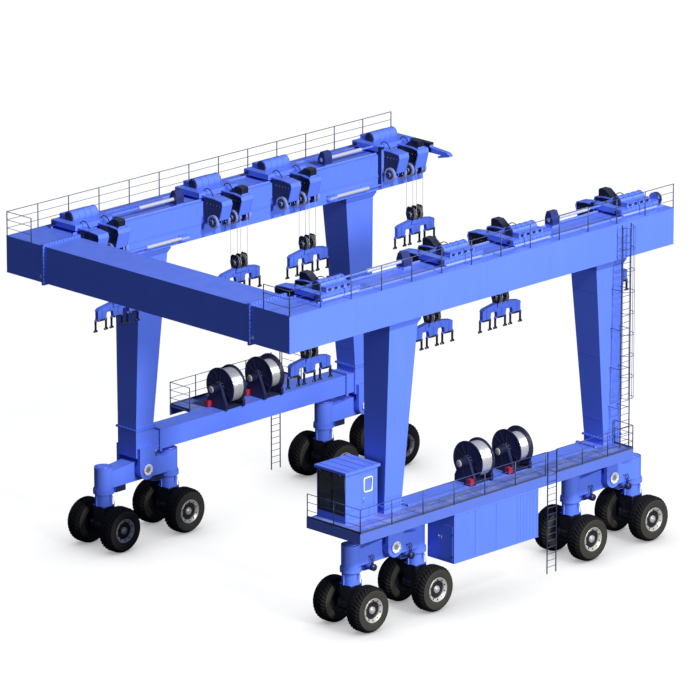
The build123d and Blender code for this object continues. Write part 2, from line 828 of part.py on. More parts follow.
# ---------------------------------------------------------------- rope reels
def reel(side, number):
    """Flanged drum on a shaft along Y."""
    y = reel_y[number - 1]
    half = reel_width / 2
    body = rod("y", track_half, y, reel_z, drum_radius, reel_width)
    for turn in (-1, 1):
        flange_y = y + turn * (half - reel_flange_thick / 2)
        body += rod("y", track_half, flange_y, reel_z, reel_radius, reel_flange_thick)
    shaft = reel_width + 2 * (bearing_gap + stand_post)
    return on_side(body + rod("y", track_half, y, reel_z, reel_shaft_radius, shaft), side)


def reel_stand(side, number):
    """Base frame with two bearing posts and the drive motor at the back."""
    y = reel_y[number - 1]
    near = reel_width / 2 + bearing_gap
    far = near + stand_post
    half = stand_width / 2
    base_top = sill_top + stand_base_height
    body = block(track_half - sill_width / 2, track_half + sill_width / 2, y - far,
                 y + far, sill_top, base_top)
    for turn in (-1, 1):
        wide, narrow = bearing_half
        shoulder, top = (reel_z + rise for rise in bearing_rise)
        knee = sill_top + stand_foot_height
        outline = [
            (track_half - half, sill_top), (track_half + half, sill_top),
            (track_half + half, knee), (track_half + wide, shoulder),
            (track_half + narrow, top), (track_half - narrow, top),
            (track_half - wide, shoulder), (track_half - half, knee),
        ]
        ends = sorted((y + turn * near, y + turn * far))
        body += plate_xz(outline, *ends)
    body -= rod("y", track_half, y, reel_z, reel_shaft_radius + running_gap, 2 * far)
    motor_y = y - far - reel_motor_length / 2
    body += rod("y", track_half, motor_y, reel_z, reel_motor_radius, reel_motor_length)
    box_width, box_depth, box_low, box_high = drive_box
    body += block(
        track_half + half - box_width, track_half + half, y - far - box_depth, y - far,
        sill_top + box_low, sill_top + box_high,
    )
    return on_side(body, side)


# ---------------------------------------------------------------- walkways
def edge_beam(y0, y1):
    """Channel along the outer edge of a walkway."""
    inner = walkway_outer - fascia_thick
    return block(inner, walkway_outer, y0, y1, fascia_bottom, sill_top)


def deck_brackets(y0, y1, count):
    """Cross beams that carry a deck from the side of the sill."""
    body = None
    for step in range(count):
        y = y0 + (y1 - y0) * (step + 0.5) / count
        beam = block(
            track_half + sill_width / 2, walkway_outer - fascia_thick,
            y - bracket_width / 2, y + bracket_width / 2,
            sill_top - deck_thick - bracket_height, sill_top - deck_thick,
        )
        body = beam if body is None else body + beam
    return body


def right_walkway():
    back, front = walkway_ends
    low = sill_top - deck_thick
    body = block(walkway_inner, walkway_outer, back, front, low, sill_top)
    body += edge_beam(back, front)
    body += deck_brackets(back_leg_y + 1200, front_leg_y - 1200, 6)
    body += block(cab_deck_inner, walkway_inner, back, cab_deck_end, low, sill_top)
    body += block(
        cab_deck_inner, walkway_outer, back, back + fascia_thick, fascia_bottom, sill_top,
    )
    body += block(
        cab_deck_inner, cab_deck_inner + fascia_thick, back, cab_deck_end,
        fascia_bottom, sill_top,
    )
    return body + block(
        cab_deck_inner, walkway_inner, cab_deck_end - fascia_thick, cab_deck_end,
        fascia_bottom, sill_top,
    )


def left_walkway():
    back, front = left_walkway_ends
    inner = track_half + sill_width / 2
    body = block(inner, walkway_outer, back, front, sill_top - deck_thick, sill_top)
    body += edge_beam(back, front)
    body += deck_brackets(back, front, 3)
    return mirror(body, about=Plane.YZ)


# ---------------------------------------------------------------- rails and ladders
def rail_run(along, fixed, start, end, base):
    """Straight guard rail: posts, a top rail and two middle rails."""
    half_post = post_size / 2
    half_rail = rail_size / 2
    count = max(1, round(abs(end - start) / post_pitch))
    body = None

    def piece(a0, a1, half, z0, z1):
        if along == "y":
            return block(fixed - half, fixed + half, a0, a1, z0, z1)
        return block(a0, a1, fixed - half, fixed + half, z0, z1)

    for level in (1, 2, 3):
        z = base + handrail_height * level / 3
        rail = piece(start, end, half_rail, z - rail_size, z)
        body = rail if body is None else body + rail
    span = end - start - post_size
    for step in range(count + 1):
        middle = start + half_post + span * step / count
        body += piece(
            middle - half_post, middle + half_post, half_post, base,
            base + handrail_height,
        )
    return body


def ladder(x, y, foot, top):
    """Two stiles with rungs between them, the rungs along Y."""
    half = ladder_width / 2
    thick = stile_size / 2
    rungs = int((top - foot - rung_pitch) / rung_pitch)
    body = None
    for turn in (-1, 1):
        middle = y + turn * (half - thick)
        stile = block(x - thick, x + thick, middle - thick, middle + thick, foot, top)
        body = stile if body is None else body + stile
    low = rung_size / 2
    for step in range(rungs):
        z = foot + rung_pitch * (step + 1)
        body += block(x - low, x + low, y - half, y + half, z - low, z + low)
    return body


def rails_and_ladders():
    edge = post_size / 2
    outer = girder_outer - edge
    deck_edge = walkway_outer - edge
    back, front = walkway_ends
    pieces = []
    for turn in (-1, 1):
        pieces.append(rail_run("y", turn * outer, frame_back, frame_front, girder_top))
        inner_end = outer - edge - corner_rail_length
        ends = sorted((turn * (outer - edge), turn * inner_end))
        pieces.append(rail_run("x", frame_back + edge, *ends, girder_top))
    gap = ladder_width / 2 + post_size
    pieces.append(rail_run("y", deck_edge, back, right_ladder_y - gap, sill_top))
    pieces.append(rail_run("y", deck_edge, right_ladder_y + gap, front, sill_top))
    pieces.append(
        rail_run("x", back + edge, cab_deck_inner, deck_edge - edge, sill_top))
    rail_start = walkway_inner + leg_flange_lip + post_size
    pieces.append(rail_run("x", front - edge, rail_start, deck_edge - edge, sill_top))
    left_back, left_front = left_walkway_ends
    left_gap = left_ladder_y - gap
    pieces.append(rail_run("y", -deck_edge, left_back, left_gap, sill_top))
    left_inner = -(track_half + sill_width / 2 + post_size)
    for y in (left_back + edge, left_front - edge):
        pieces.append(rail_run("x", y, -deck_edge + edge, left_inner, sill_top))
    ladder_x = walkway_outer + stile_size / 2
    hoop_top = sill_top + handrail_height
    pieces.append(ladder(ladder_x, right_ladder_y, ground_ladder_foot, hoop_top))
    pieces.append(ladder(-ladder_x, left_ladder_y, ground_ladder_foot, hoop_top))
    pieces.append(ladder(leg_ladder_x, front_leg_y, sill_top, girder_top))
    return pieces


# ---------------------------------------------------------------- machinery house
def machinery_house():
    back, front = house_ends
    outer = walkway_outer
    body = block(house_inner_x, outer, back, front, house_bottom, fascia_bottom)
    notch = block(
        house_inner_x, track_half + sill_width / 2, back, front, sill_bottom,
        fascia_bottom,
    )
    return body - notch


# ---------------------------------------------------------------- cab
def cab_frame():
    """Cab walls as separate plates, with the windows and the doorway cut out."""
    x0, x1 = cab_x
    y0, y1 = cab_y
    low = sill_top
    high = low + cab_height - cab_roof_thick
    wall = cab_wall
    floor = block(x0, x1, y0, y1, low, low + wall)
    over = cab_roof_over
    roof = block(x0 - over, x1 + over, y0 - over, y1 + over, high, high + cab_roof_thick)
    body = floor + roof
    for x in (x0, x1 - wall):
        for y in (y0, y1 - wall):
            body += block(x, x + wall, y, y + wall, low, high)
    sill_z = low + window_sill
    for y in (y0, y1 - wall):
        body += block(x0, x1, y, y + wall, low, low + (low_sill if y == y0 else window_sill))
        body += block(x0, x1, y, y + wall, high - wall, high)
    body += block(x0, x0 + wall, y0, y1, low, sill_z)
    body += block(x0, x0 + wall, y0, y1, high - wall, high)
    door_back = door_hinge_y - door_gap - door_width
    body += block(x1 - wall, x1, y0, door_back - door_gap, low, high)
    body += block(x1 - wall, x1, door_hinge_y, y1, low, high)
    door_top = low + wall + door_gap + door_height
    body += block(x1 - wall, x1, y0, y1, door_top + door_gap, high)
    seat_x = (x0 + x1) / 2
    seat_back = y1 - seat_setback
    half = seat_width / 2
    body += block(
        seat_x - half, seat_x + half, seat_back - seat_depth, seat_back,
        low + wall, low + seat_height,
    )
    body += block(
        seat_x - half, seat_x + half, seat_back - seat_back_thick / 2,
        seat_back + seat_back_thick / 2, low + seat_height, low + seat_back_height,
    )
    half = console_width / 2
    return body + block(
        seat_x - half, seat_x + half, y0 + wall, y0 + wall + console_depth,
        low + wall, low + console_height,
    )


def cab_panes():
    """One sheet of glass in each open side of the cab."""
    x0, x1 = cab_x
    y0, y1 = cab_y
    wall = cab_wall
    high = sill_top + cab_height - cab_roof_thick - wall
    middle = (wall - glass_thick) / 2
    front_pane = block(
        x0 + wall, x1 - wall, y0 + middle, y0 + middle + glass_thick,
        sill_top + low_sill, high,
    )
    rear_pane = block(
        x0 + wall, x1 - wall, y1 - middle - glass_thick, y1 - middle,
        sill_top + window_sill, high,
    )
    bay_pane = block(
        x0 + middle, x0 + middle + glass_thick, y0 + wall, y1 - wall,
        sill_top + window_sill, high,
    )
    return [front_pane, rear_pane, bay_pane]


def cab_door():
    """Door leaf on the outer side of the cab, with its window pane."""
    x1 = cab_x[1]
    front = door_hinge_y - door_gap
    back = front - door_width
    low = sill_top + cab_wall + door_gap
    high = low + door_height
    leaf = block(x1 - door_thick, x1, back, front, low, high)
    wide, tall = door_window
    middle = (back + front) / 2
    centre = high - window_drop - tall / 2
    window = block(
        x1 - door_thick, x1, middle - wide / 2, middle + wide / 2,
        centre - tall / 2, centre + tall / 2,
    )
    inset = (door_thick - glass_thick) / 2
    pane = block(
        x1 - inset - glass_thick, x1 - inset, middle - wide / 2, middle + wide / 2,
        centre - tall / 2, centre + tall / 2,
    )
    level = (low + high) / 2
    pin_y = door_hinge_y - door_gap / 2
    hinge = rod("z", x1 + hinge_radius, pin_y, level, hinge_radius, hinge_length)
    strap = block(
        x1, x1 + hinge_radius, front - cab_wall, pin_y,
        level - hinge_length / 2, level + hinge_length / 2,
    )
    return leaf - window + pane + strap + hinge


def build():
    write("crossbeam", [crossbeam()])
    write("girders", [girder(side) for side in sides])
    write("legs", [leg(end, side) for end in legs_y for side in sides])
    write("saddles", [saddle(end, side) for end in legs_y for side in sides])
    write("sills", [sill(side) for side in sides])
    write("walkways", [right_walkway(), left_walkway()])
    write("rails_and_ladders", rails_and_ladders())
    write("machinery_house", [machinery_house()])
    write("cab", [cab_frame()])
    write("cab_glass", cab_panes())
    write("cab_door", [cab_door()])
    write("reel_stands", [reel_stand(side, n) for side in sides for n in (1, 2)])
    for side in sides:
        for number in (1, 2):
            write(f"reel_{side}_{number}", [reel(side, number)])
        for end in legs_y:
            write(f"rocker_{end}_{side}", [rocker(end, side)])
            for place in ("a", "b"):
                write(f"yoke_{end}_{side}_{place}", [yoke(end, side, place)])
                write(f"wheels_{end}_{side}_{place}", [wheel_pair(end, side, place)])
        for number in (1, 2, 3, 4):
            write(f"trolley_{side}_{number}", [trolley(side, number)])
            write(f"ropes_{side}_{number}", ropes(side, number))
            write(f"spreader_{side}_{number}", [spreader(side, number)])


build()
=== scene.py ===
# %% [markdown]
# # Mobile boat hoist
# A travelling portal for boats: two side frames on steered tyres, two long box girders and
# one crossbeam, with eight trolleys that carry sling spreaders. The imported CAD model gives
# every size and every moving body. This lesson dresses it: paint, tyres, guard rails,
# bolts, drums and light, all in metres and in the frame of the CAD.

# %% Load the frame
import json
import math

import bmesh
import bpy
from mathutils import Matrix, Vector


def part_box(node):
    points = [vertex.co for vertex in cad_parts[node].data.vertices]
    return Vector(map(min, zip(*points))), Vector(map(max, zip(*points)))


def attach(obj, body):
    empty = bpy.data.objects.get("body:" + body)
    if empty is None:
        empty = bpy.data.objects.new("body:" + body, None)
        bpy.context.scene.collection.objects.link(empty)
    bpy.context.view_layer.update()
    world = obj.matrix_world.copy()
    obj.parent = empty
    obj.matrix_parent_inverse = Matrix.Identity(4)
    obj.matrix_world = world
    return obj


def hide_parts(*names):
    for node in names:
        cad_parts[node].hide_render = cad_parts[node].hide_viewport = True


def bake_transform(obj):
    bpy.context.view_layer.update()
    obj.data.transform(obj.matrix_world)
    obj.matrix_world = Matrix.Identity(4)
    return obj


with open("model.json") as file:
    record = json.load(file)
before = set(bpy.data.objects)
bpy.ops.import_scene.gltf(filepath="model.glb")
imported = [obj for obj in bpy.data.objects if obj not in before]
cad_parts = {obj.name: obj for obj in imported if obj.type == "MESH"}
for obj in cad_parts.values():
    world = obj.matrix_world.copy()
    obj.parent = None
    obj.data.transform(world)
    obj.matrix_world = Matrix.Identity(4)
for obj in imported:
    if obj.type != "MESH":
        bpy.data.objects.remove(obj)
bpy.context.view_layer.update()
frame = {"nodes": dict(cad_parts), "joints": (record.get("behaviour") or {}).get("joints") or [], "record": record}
BODY_OF = {node: body for body, nodes in frame["record"]["behaviour"]["bodies"].items()
           for node in nodes}
SIDES = {"left": -1, "right": 1}
ENDS = ("back", "front")

# %% [markdown]
# ## Where things are
# A good scene script never types a place twice. The joints of the machine already hold the
# important ones: the axle lines, the steering columns, the rocker pins and the rope line.
# Everything else is read from the boxes of the CAD nodes.

# %% Key places
JOINTS = {joint["name"]: joint for joint in frame["joints"]}


def low(node):
    return Vector(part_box(node)[0])


def high(node):
    return Vector(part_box(node)[1])


def middle(node):
    return (low(node) + high(node)) / 2


def joint_place(name):
    return Vector(JOINTS[name]["pos_m"])


track = joint_place("rock_back_right").x
girder_top = high("crossbeam").z - 0.09
girder_bottom = low("crossbeam").z + 0.09
deck_top = high("walkways").z
print("track half", round(track, 3), "girder top", round(girder_top, 3),
      "deck", round(deck_top, 3))

# %% [markdown]
# ## Shader helpers
# Each paint on the machine shares the same habits: a little colour drift from panel to
# panel, dust that settles on upward faces, rain streaks that run down, and fine orange peel
# in the lacquer. One node group holds that behaviour and gives out a colour, a roughness
# and a height. The Principled shader stays in each material, so a finish is the group's
# values plus its own gloss.

# %% Weathered paint group
def add_node(tree, kind, **values):
    node = tree.nodes.new(kind)
    for key, value in values.items():
        setattr(node, key, value)
    return node


def new_group(name, inputs, outputs):
    """An empty shader node group with named sockets, and its two end nodes."""
    group = bpy.data.node_groups.new(name, "ShaderNodeTree")
    for label, kind, value in inputs:
        socket = group.interface.new_socket(label, in_out="INPUT", socket_type=kind)
        socket.default_value = value
    for label, kind in outputs:
        group.interface.new_socket(label, in_out="OUTPUT", socket_type=kind)
    return group, add_node(group, "NodeGroupInput"), add_node(group, "NodeGroupOutput")


def noise(tree, vector, scale, detail=3.0, roughness=0.55):
    node = add_node(tree, "ShaderNodeTexNoise")
    node.inputs["Scale"].default_value = scale
    node.inputs["Detail"].default_value = detail
    node.inputs["Roughness"].default_value = roughness
    tree.links.new(vector, node.inputs["Vector"])
    return node.outputs["Fac"]


def ramp(tree, value, low_edge, high_edge):
    """Map a value to 0..1 between two edges, with clamping."""
    node = add_node(tree, "ShaderNodeMapRange", clamp=True)
    node.inputs["From Min"].default_value = low_edge
    node.inputs["From Max"].default_value = high_edge
    tree.links.new(value, node.inputs["Value"])
    return node.outputs["Result"]


def maths(tree, operation, first, second):
    node = add_node(tree, "ShaderNodeMath", operation=operation)
    for socket, value in zip(node.inputs, (first, second)):
        if isinstance(value, (int, float)):
            socket.default_value = value
        else:
            tree.links.new(value, socket)
    return node.outputs[0]


def mix_colour(tree, factor, first, second):
    node = add_node(tree, "ShaderNodeMix", data_type="RGBA")
    for socket, value in ((node.inputs["Factor"], factor), (node.inputs["A"], first),
                          (node.inputs["B"], second)):
        if hasattr(value, "links"):
            tree.links.new(value, socket)
        else:
            socket.default_value = value
    return node.outputs["Result"]


def sized(tree, vector, x, y, z):
    """Stretch a coordinate so that a texture has different scales along each axis."""
    node = add_node(tree, "ShaderNodeVectorMath", operation="MULTIPLY")
    node.inputs[1].default_value = (x, y, z)
    tree.links.new(vector, node.inputs[0])
    return node.outputs["Vector"]


def add_bump(tree, shader, height, strength, distance):
    """Lumps on a surface, as deep as the distance in metres."""
    lumps = add_node(tree, "ShaderNodeBump")
    lumps.inputs["Strength"].default_value = strength
    lumps.inputs["Distance"].default_value = distance
    tree.links.new(height, lumps.inputs["Height"])
    tree.links.new(lumps.outputs["Normal"], shader.inputs["Normal"])


def object_place(tree):
    """The coordinates of the object that wears the material."""
    return add_node(tree, "ShaderNodeTexCoord").outputs["Object"]


def build_paint_group():
    group, start, end = new_group(
        "weathered_paint",
        [("Colour", "NodeSocketColor", (0.1, 0.2, 0.8, 1)),
         ("Dust Colour", "NodeSocketColor", (0.5, 0.55, 0.62, 1)),
         ("Drift", "NodeSocketFloat", 0.08), ("Dust", "NodeSocketFloat", 0.15),
         ("Streaks", "NodeSocketFloat", 0.2), ("Gloss", "NodeSocketFloat", 0.35)],
        [("Colour", "NodeSocketColor"), ("Roughness", "NodeSocketFloat"),
         ("Height", "NodeSocketFloat")])
    place = object_place(group)
    facing = add_node(group, "ShaderNodeNewGeometry").outputs["Normal"]
    split = add_node(group, "ShaderNodeSeparateXYZ")
    group.links.new(facing, split.inputs[0])
    upward = ramp(group, split.outputs["Z"], 0.3, 1.0)
    broad = noise(group, place, 0.35, 4.0)
    shade = maths(group, "MULTIPLY", maths(group, "SUBTRACT", broad, 0.5),
                  start.outputs["Drift"])
    value = add_node(group, "ShaderNodeHueSaturation")
    group.links.new(maths(group, "ADD", 1.0, maths(group, "MULTIPLY", shade, 2.0)),
                    value.inputs["Value"])
    group.links.new(start.outputs["Colour"], value.inputs["Color"])
    runs = sized(group, place, 5.0, 5.0, 0.22)
    streak = ramp(group, noise(group, runs, 1.6, 5.0), 0.53, 0.78)
    upright = maths(group, "SUBTRACT", 1.0, upward)
    streak = maths(group, "MULTIPLY", maths(group, "MULTIPLY", streak, upright),
                   start.outputs["Streaks"])
    settle = ramp(group, noise(group, place, 1.8, 6.0, 0.62), 0.38, 0.75)
    settle = maths(group, "MULTIPLY", maths(group, "MULTIPLY", settle, upward),
                   start.outputs["Dust"])
    worn = mix_colour(group, streak, value.outputs["Color"], start.outputs["Dust Colour"])
    worn = mix_colour(group, settle, worn, start.outputs["Dust Colour"])
    fine = noise(group, place, 46.0, 2.0)
    rough = maths(group, "ADD", start.outputs["Gloss"],
                  maths(group, "MULTIPLY", maths(group, "SUBTRACT", fine, 0.5), 0.1))
    rough = maths(group, "ADD", rough, maths(group, "MULTIPLY", settle, 0.5))
    group.links.new(worn, end.inputs["Colour"])
    group.links.new(rough, end.inputs["Roughness"])
    group.links.new(noise(group, place, 9.0, 5.0), end.inputs["Height"])
    return group


PAINT_GROUP = build_paint_group()
print("group", PAINT_GROUP.name, "with", len(PAINT_GROUP.nodes), "nodes")

# %% [markdown]
# ## The paints and metals
# The portal is sprayed in one strong ultramarine. Machinery below the trolleys is nearly
# black navy, rims and drums are bright steel, and the ropes are greased grey wire. Small
# accents keep the eye busy: a red drive box, cream motors, a white window frame.

# %% Materials
MATERIALS = {}


def material(name):
    made = bpy.data.materials.new(name)
    made.use_nodes = True
    MATERIALS[name] = made
    return made, made.node_tree, made.node_tree.nodes["Principled BSDF"]


def painted(name, colour, gloss=0.36, drift=0.08, dust=0.12, streaks=0.045,
            dust_colour=(0.45, 0.5, 0.6, 1), bump=0.03, coat=0.15):
    """A sprayed finish: the paint group's values feed one Principled shader."""
    made, tree, shader = material(name)
    group = add_node(tree, "ShaderNodeGroup", node_tree=PAINT_GROUP)
    for label, value in (("Colour", (*colour, 1)), ("Dust Colour", dust_colour),
                         ("Drift", drift), ("Dust", dust), ("Streaks", streaks),
                         ("Gloss", gloss)):
        group.inputs[label].default_value = value
    tree.links.new(group.outputs["Colour"], shader.inputs["Base Color"])
    tree.links.new(group.outputs["Roughness"], shader.inputs["Roughness"])
    add_bump(tree, shader, group.outputs["Height"], bump, 0.01)
    shader.inputs["Coat Weight"].default_value = coat
    shader.inputs["Coat Roughness"].default_value = 0.2
    return made


def brushed(name, colour, roughness=0.3, stretch=(2.0, 2.0, 2.0), scale=14.0, bump=0.15,
            metallic=0.6):
    """Bare machined metal with fine lines."""
    _, tree, shader = material(name)
    place = object_place(tree)
    lines = noise(tree, sized(tree, place, *stretch), scale, 4.0, 0.6)
    tone = mix_colour(tree, ramp(tree, lines, 0.3, 0.7), (*[c * 0.78 for c in colour], 1),
                      (*colour, 1))
    tree.links.new(tone, shader.inputs["Base Color"])
    tree.links.new(maths(tree, "ADD", roughness - 0.08, maths(tree, "MULTIPLY", lines, 0.16)),
                   shader.inputs["Roughness"])
    add_bump(tree, shader, lines, bump, 0.002)
    shader.inputs["Metallic"].default_value = metallic


def rubber(name, colour, scale=22.0):
    """Worn black rubber: dusty patches and a fine grain."""
    _, tree, shader = material(name)
    place = object_place(tree)
    patches = ramp(tree, noise(tree, place, 3.2, 6.0, 0.65), 0.42, 0.72)
    tone = mix_colour(tree, maths(tree, "MULTIPLY", patches, 0.5), (*colour, 1),
                      (0.014, 0.013, 0.012, 1))
    tree.links.new(tone, shader.inputs["Base Color"])
    grain = noise(tree, place, scale, 5.0, 0.6)
    tree.links.new(maths(tree, "ADD", 0.6, maths(tree, "MULTIPLY", grain, 0.25)),
                   shader.inputs["Roughness"])
    add_bump(tree, shader, grain, 0.25, 0.004)
    shader.inputs["Specular IOR Level"].default_value = 0.2


BLUE = (0.115, 0.215, 0.9)
painted("hull_blue", BLUE)
painted("shade_blue", (0.03, 0.07, 0.5), gloss=0.42)
painted("navy", (0.012, 0.014, 0.06), gloss=0.4, drift=0.2, dust=0.1, streaks=0.05)
painted("black_iron", (0.006, 0.007, 0.012), gloss=0.5, drift=0.3, dust=0.12, streaks=0.02)
painted("rail_grey", (0.05, 0.065, 0.14), gloss=0.45, drift=0.2)
painted("cream", (0.62, 0.55, 0.42), gloss=0.5, dust=0.2)
painted("signal_red", (0.4, 0.014, 0.04), gloss=0.4)
painted("window_white", (0.8, 0.82, 0.85), gloss=0.35)
painted("reel_navy", (0.02, 0.022, 0.085), gloss=0.38, drift=0.25, dust=0.1)
painted("bolt_blue", (0.06, 0.1, 0.36), gloss=0.45)
painted("cap_silver", (0.82, 0.84, 0.86), gloss=0.3, drift=0.1, dust=0.1)
painted("plate_pale", (0.3, 0.38, 0.8), gloss=0.4, dust=0.2)
painted("grate", (0.06, 0.09, 0.36), gloss=0.5, dust=0.3)
painted("deck_plate", (0.1, 0.17, 0.62), gloss=0.5, dust=0.5, bump=0.3)
painted("sidewall_olive", (0.03, 0.028, 0.021), gloss=0.75, drift=0.4, dust=0.3,
        streaks=0.0, coat=0.0)
brushed("rim_steel", (0.58, 0.57, 0.52), 0.36, metallic=0.25)
brushed("drum_steel", (0.72, 0.73, 0.73), 0.26, stretch=(1.0, 30.0, 1.0), scale=6.0,
        metallic=0.5)
brushed("rope_wire", (0.62, 0.64, 0.67), 0.45, metallic=0.3)
brushed("bolt_zinc", (0.5, 0.52, 0.56), 0.35)
rubber("tyre_black", (0.005, 0.005, 0.006))
rubber("seat_black", (0.02, 0.02, 0.025), 60.0)
print(len(MATERIALS), "materials")

# %% [markdown]
# ## Cab glass
# The cab panes are clear glass with a faint green-grey tint. Light passes through them, and
# they turn glossy at a flat angle.

# %% Glass
def glass(name, tint):
    """Tinted glass that lets most of the light through."""
    _, _, shader = material(name)
    shader.inputs["Base Color"].default_value = tint
    shader.inputs["Roughness"].default_value = 0.04
    shader.inputs["Transmission Weight"].default_value = 0.9
    shader.inputs["IOR"].default_value = 1.45


glass("cab_glass_clear", (0.4, 0.46, 0.44, 1))
print("glass ready")

# %% [markdown]
# ## Camera, light and floor
# From far away a long lens flattens the machine, so its parallel girders stay nearly
# parallel. Two round softboxes stand far out on the cab side, one high and one low, so that
# one girder's shadow never blacks out the other side. The back faces stay in shade. The
# machine feels a faint blue sky, while the camera sees plain white behind it. The soft
# shadows right below the wheels are painted shadow: the floor glows for the camera, and an
# ambient-occlusion node darkens that glow near the tyres.

# %% Camera, light and floor
VIEW_AZIMUTH, VIEW_ELEVATION = math.radians(44.9), math.radians(16.8)
VIEW_TARGET = Vector((-0.576, 1.046, 8.807))
VIEW_DISTANCE = 320.0
VIEW_WIDTH = 30.77      # metres of the machine across the frame at the target
KEY_STRENGTH = 4.6      # what the middle of the machine receives from both lamps
LAMPS = {"key_high": ((1.0, -0.08, 0.92), 0.55),      # way to the lamp, share of the light
         "key_low": ((1.0, -0.08, 0.33), 0.45)}
LAMP_DISTANCE = 120.0
LAMP_SIZE = 14.0
SKY_TINT, WHITE = (0.5, 0.6, 1.0, 1), (1, 1, 1, 1)
SKY_STRENGTH = 0.25     # what the machine feels; the camera sees a white sky
FLOOR_REACH = 900.0
FLOOR_GLOW = 0.97       # keeps the floor white round soft shadows
PAINTED_SHADOW_LEVEL = 0.3           # painted shadow: how dark the floor's glow is painted right below a wheel
PAINTED_SHADOW_REACH = 3.4     # how far from a tyre that painted shadow reaches, in metres
PAINTED_SHADOW_EDGES = (0.15, 0.97)

toward = Vector((math.sin(VIEW_AZIMUTH) * math.cos(VIEW_ELEVATION),
                 -math.cos(VIEW_AZIMUTH) * math.cos(VIEW_ELEVATION),
                 math.sin(VIEW_ELEVATION)))
camera = bpy.data.objects.new("camera", bpy.data.cameras.new("camera"))
bpy.context.collection.objects.link(camera)
camera.location = VIEW_TARGET + toward * VIEW_DISTANCE
camera.rotation_euler = toward.to_track_quat("Z", "Y").to_euler()
camera.data.lens = camera.data.sensor_width * VIEW_DISTANCE / VIEW_WIDTH
camera.data.clip_end = 2000.0
bpy.context.scene.camera = camera


def softbox(name, way, strength):
    """A round lamp far out along a direction, aimed at the middle of the machine."""
    way = Vector(way).normalized()
    data = bpy.data.lights.new(name, "AREA")
    data.shape = "DISK"
    data.size = LAMP_SIZE
    data.energy = strength * math.pi * LAMP_DISTANCE ** 2
    made = bpy.data.objects.new(name, data)
    made.location = VIEW_TARGET + way * LAMP_DISTANCE
    made.rotation_euler = way.to_track_quat("Z", "Y").to_euler()
    bpy.context.collection.objects.link(made)


for name, (way, share) in LAMPS.items():
    softbox(name, way, KEY_STRENGTH * share)


def seen_by_camera(tree):
    """1 for what the camera sees directly, 0 for light that bounces."""
    return add_node(tree, "ShaderNodeLightPath").outputs["Is Camera Ray"]


world = bpy.data.worlds.new("studio")
world.use_nodes = True
sky_tree = world.node_tree
sky = sky_tree.nodes["Background"]
sky_tree.links.new(mix_colour(sky_tree, seen_by_camera(sky_tree), SKY_TINT, WHITE),
                   sky.inputs["Color"])
sky_power = maths(sky_tree, "MULTIPLY", seen_by_camera(sky_tree), 1.0 - SKY_STRENGTH)
sky_tree.links.new(maths(sky_tree, "ADD", sky_power, SKY_STRENGTH), sky.inputs["Strength"])
bpy.context.scene.world = world
bpy.context.scene.view_settings.view_transform = "Standard"

floor_mesh = bpy.data.meshes.new("floor")
floor_mesh.from_pydata([(x * FLOOR_REACH, y * FLOOR_REACH, 0)
                        for x, y in ((-1, -1), (1, -1), (1, 1), (-1, 1))], [], [(0, 1, 2, 3)])
floor = bpy.data.objects.new("floor", floor_mesh)
bpy.context.collection.objects.link(floor)
floor_paint, floor_tree, floor_shader = material("floor_white")
floor_tone = mix_colour(floor_tree, noise(floor_tree, object_place(floor_tree), 0.2, 4.0),
                        (0.085, 0.085, 0.09, 1), (0.1, 0.1, 0.1, 1))
floor_tree.links.new(floor_tone, floor_shader.inputs["Base Color"])
floor_tree.links.new(maths(floor_tree, "MULTIPLY", seen_by_camera(floor_tree), FLOOR_GLOW),
                     floor_shader.inputs["Emission Strength"])
# Painted shadow: an ambient-occlusion node darkens the floor's glow right below the wheels.
near = add_node(floor_tree, "ShaderNodeAmbientOcclusion", samples=8)
near.inputs["Distance"].default_value = PAINTED_SHADOW_REACH
glow_with_painted_shadow = mix_colour(floor_tree, ramp(floor_tree, near.outputs["AO"], *PAINTED_SHADOW_EDGES),
                  (PAINTED_SHADOW_LEVEL, PAINTED_SHADOW_LEVEL, PAINTED_SHADOW_LEVEL * 1.02, 1), WHITE)
floor_tree.links.new(glow_with_painted_shadow, floor_shader.inputs["Emission Color"])
floor_shader.inputs["Roughness"].default_value = 0.9
floor_mesh.materials.append(floor_paint)
print("camera lens", round(camera.data.lens), "mm at", VIEW_DISTANCE, "m")

# %% [markdown]
# ## Building blocks for small parts
# Bolts, ribs, rungs and seams are many and small. Each one is added to a shared bmesh and
# the whole family becomes one object, so the scene stays light. A builder keeps a list of
# finishes, and every face remembers which finish it wears.

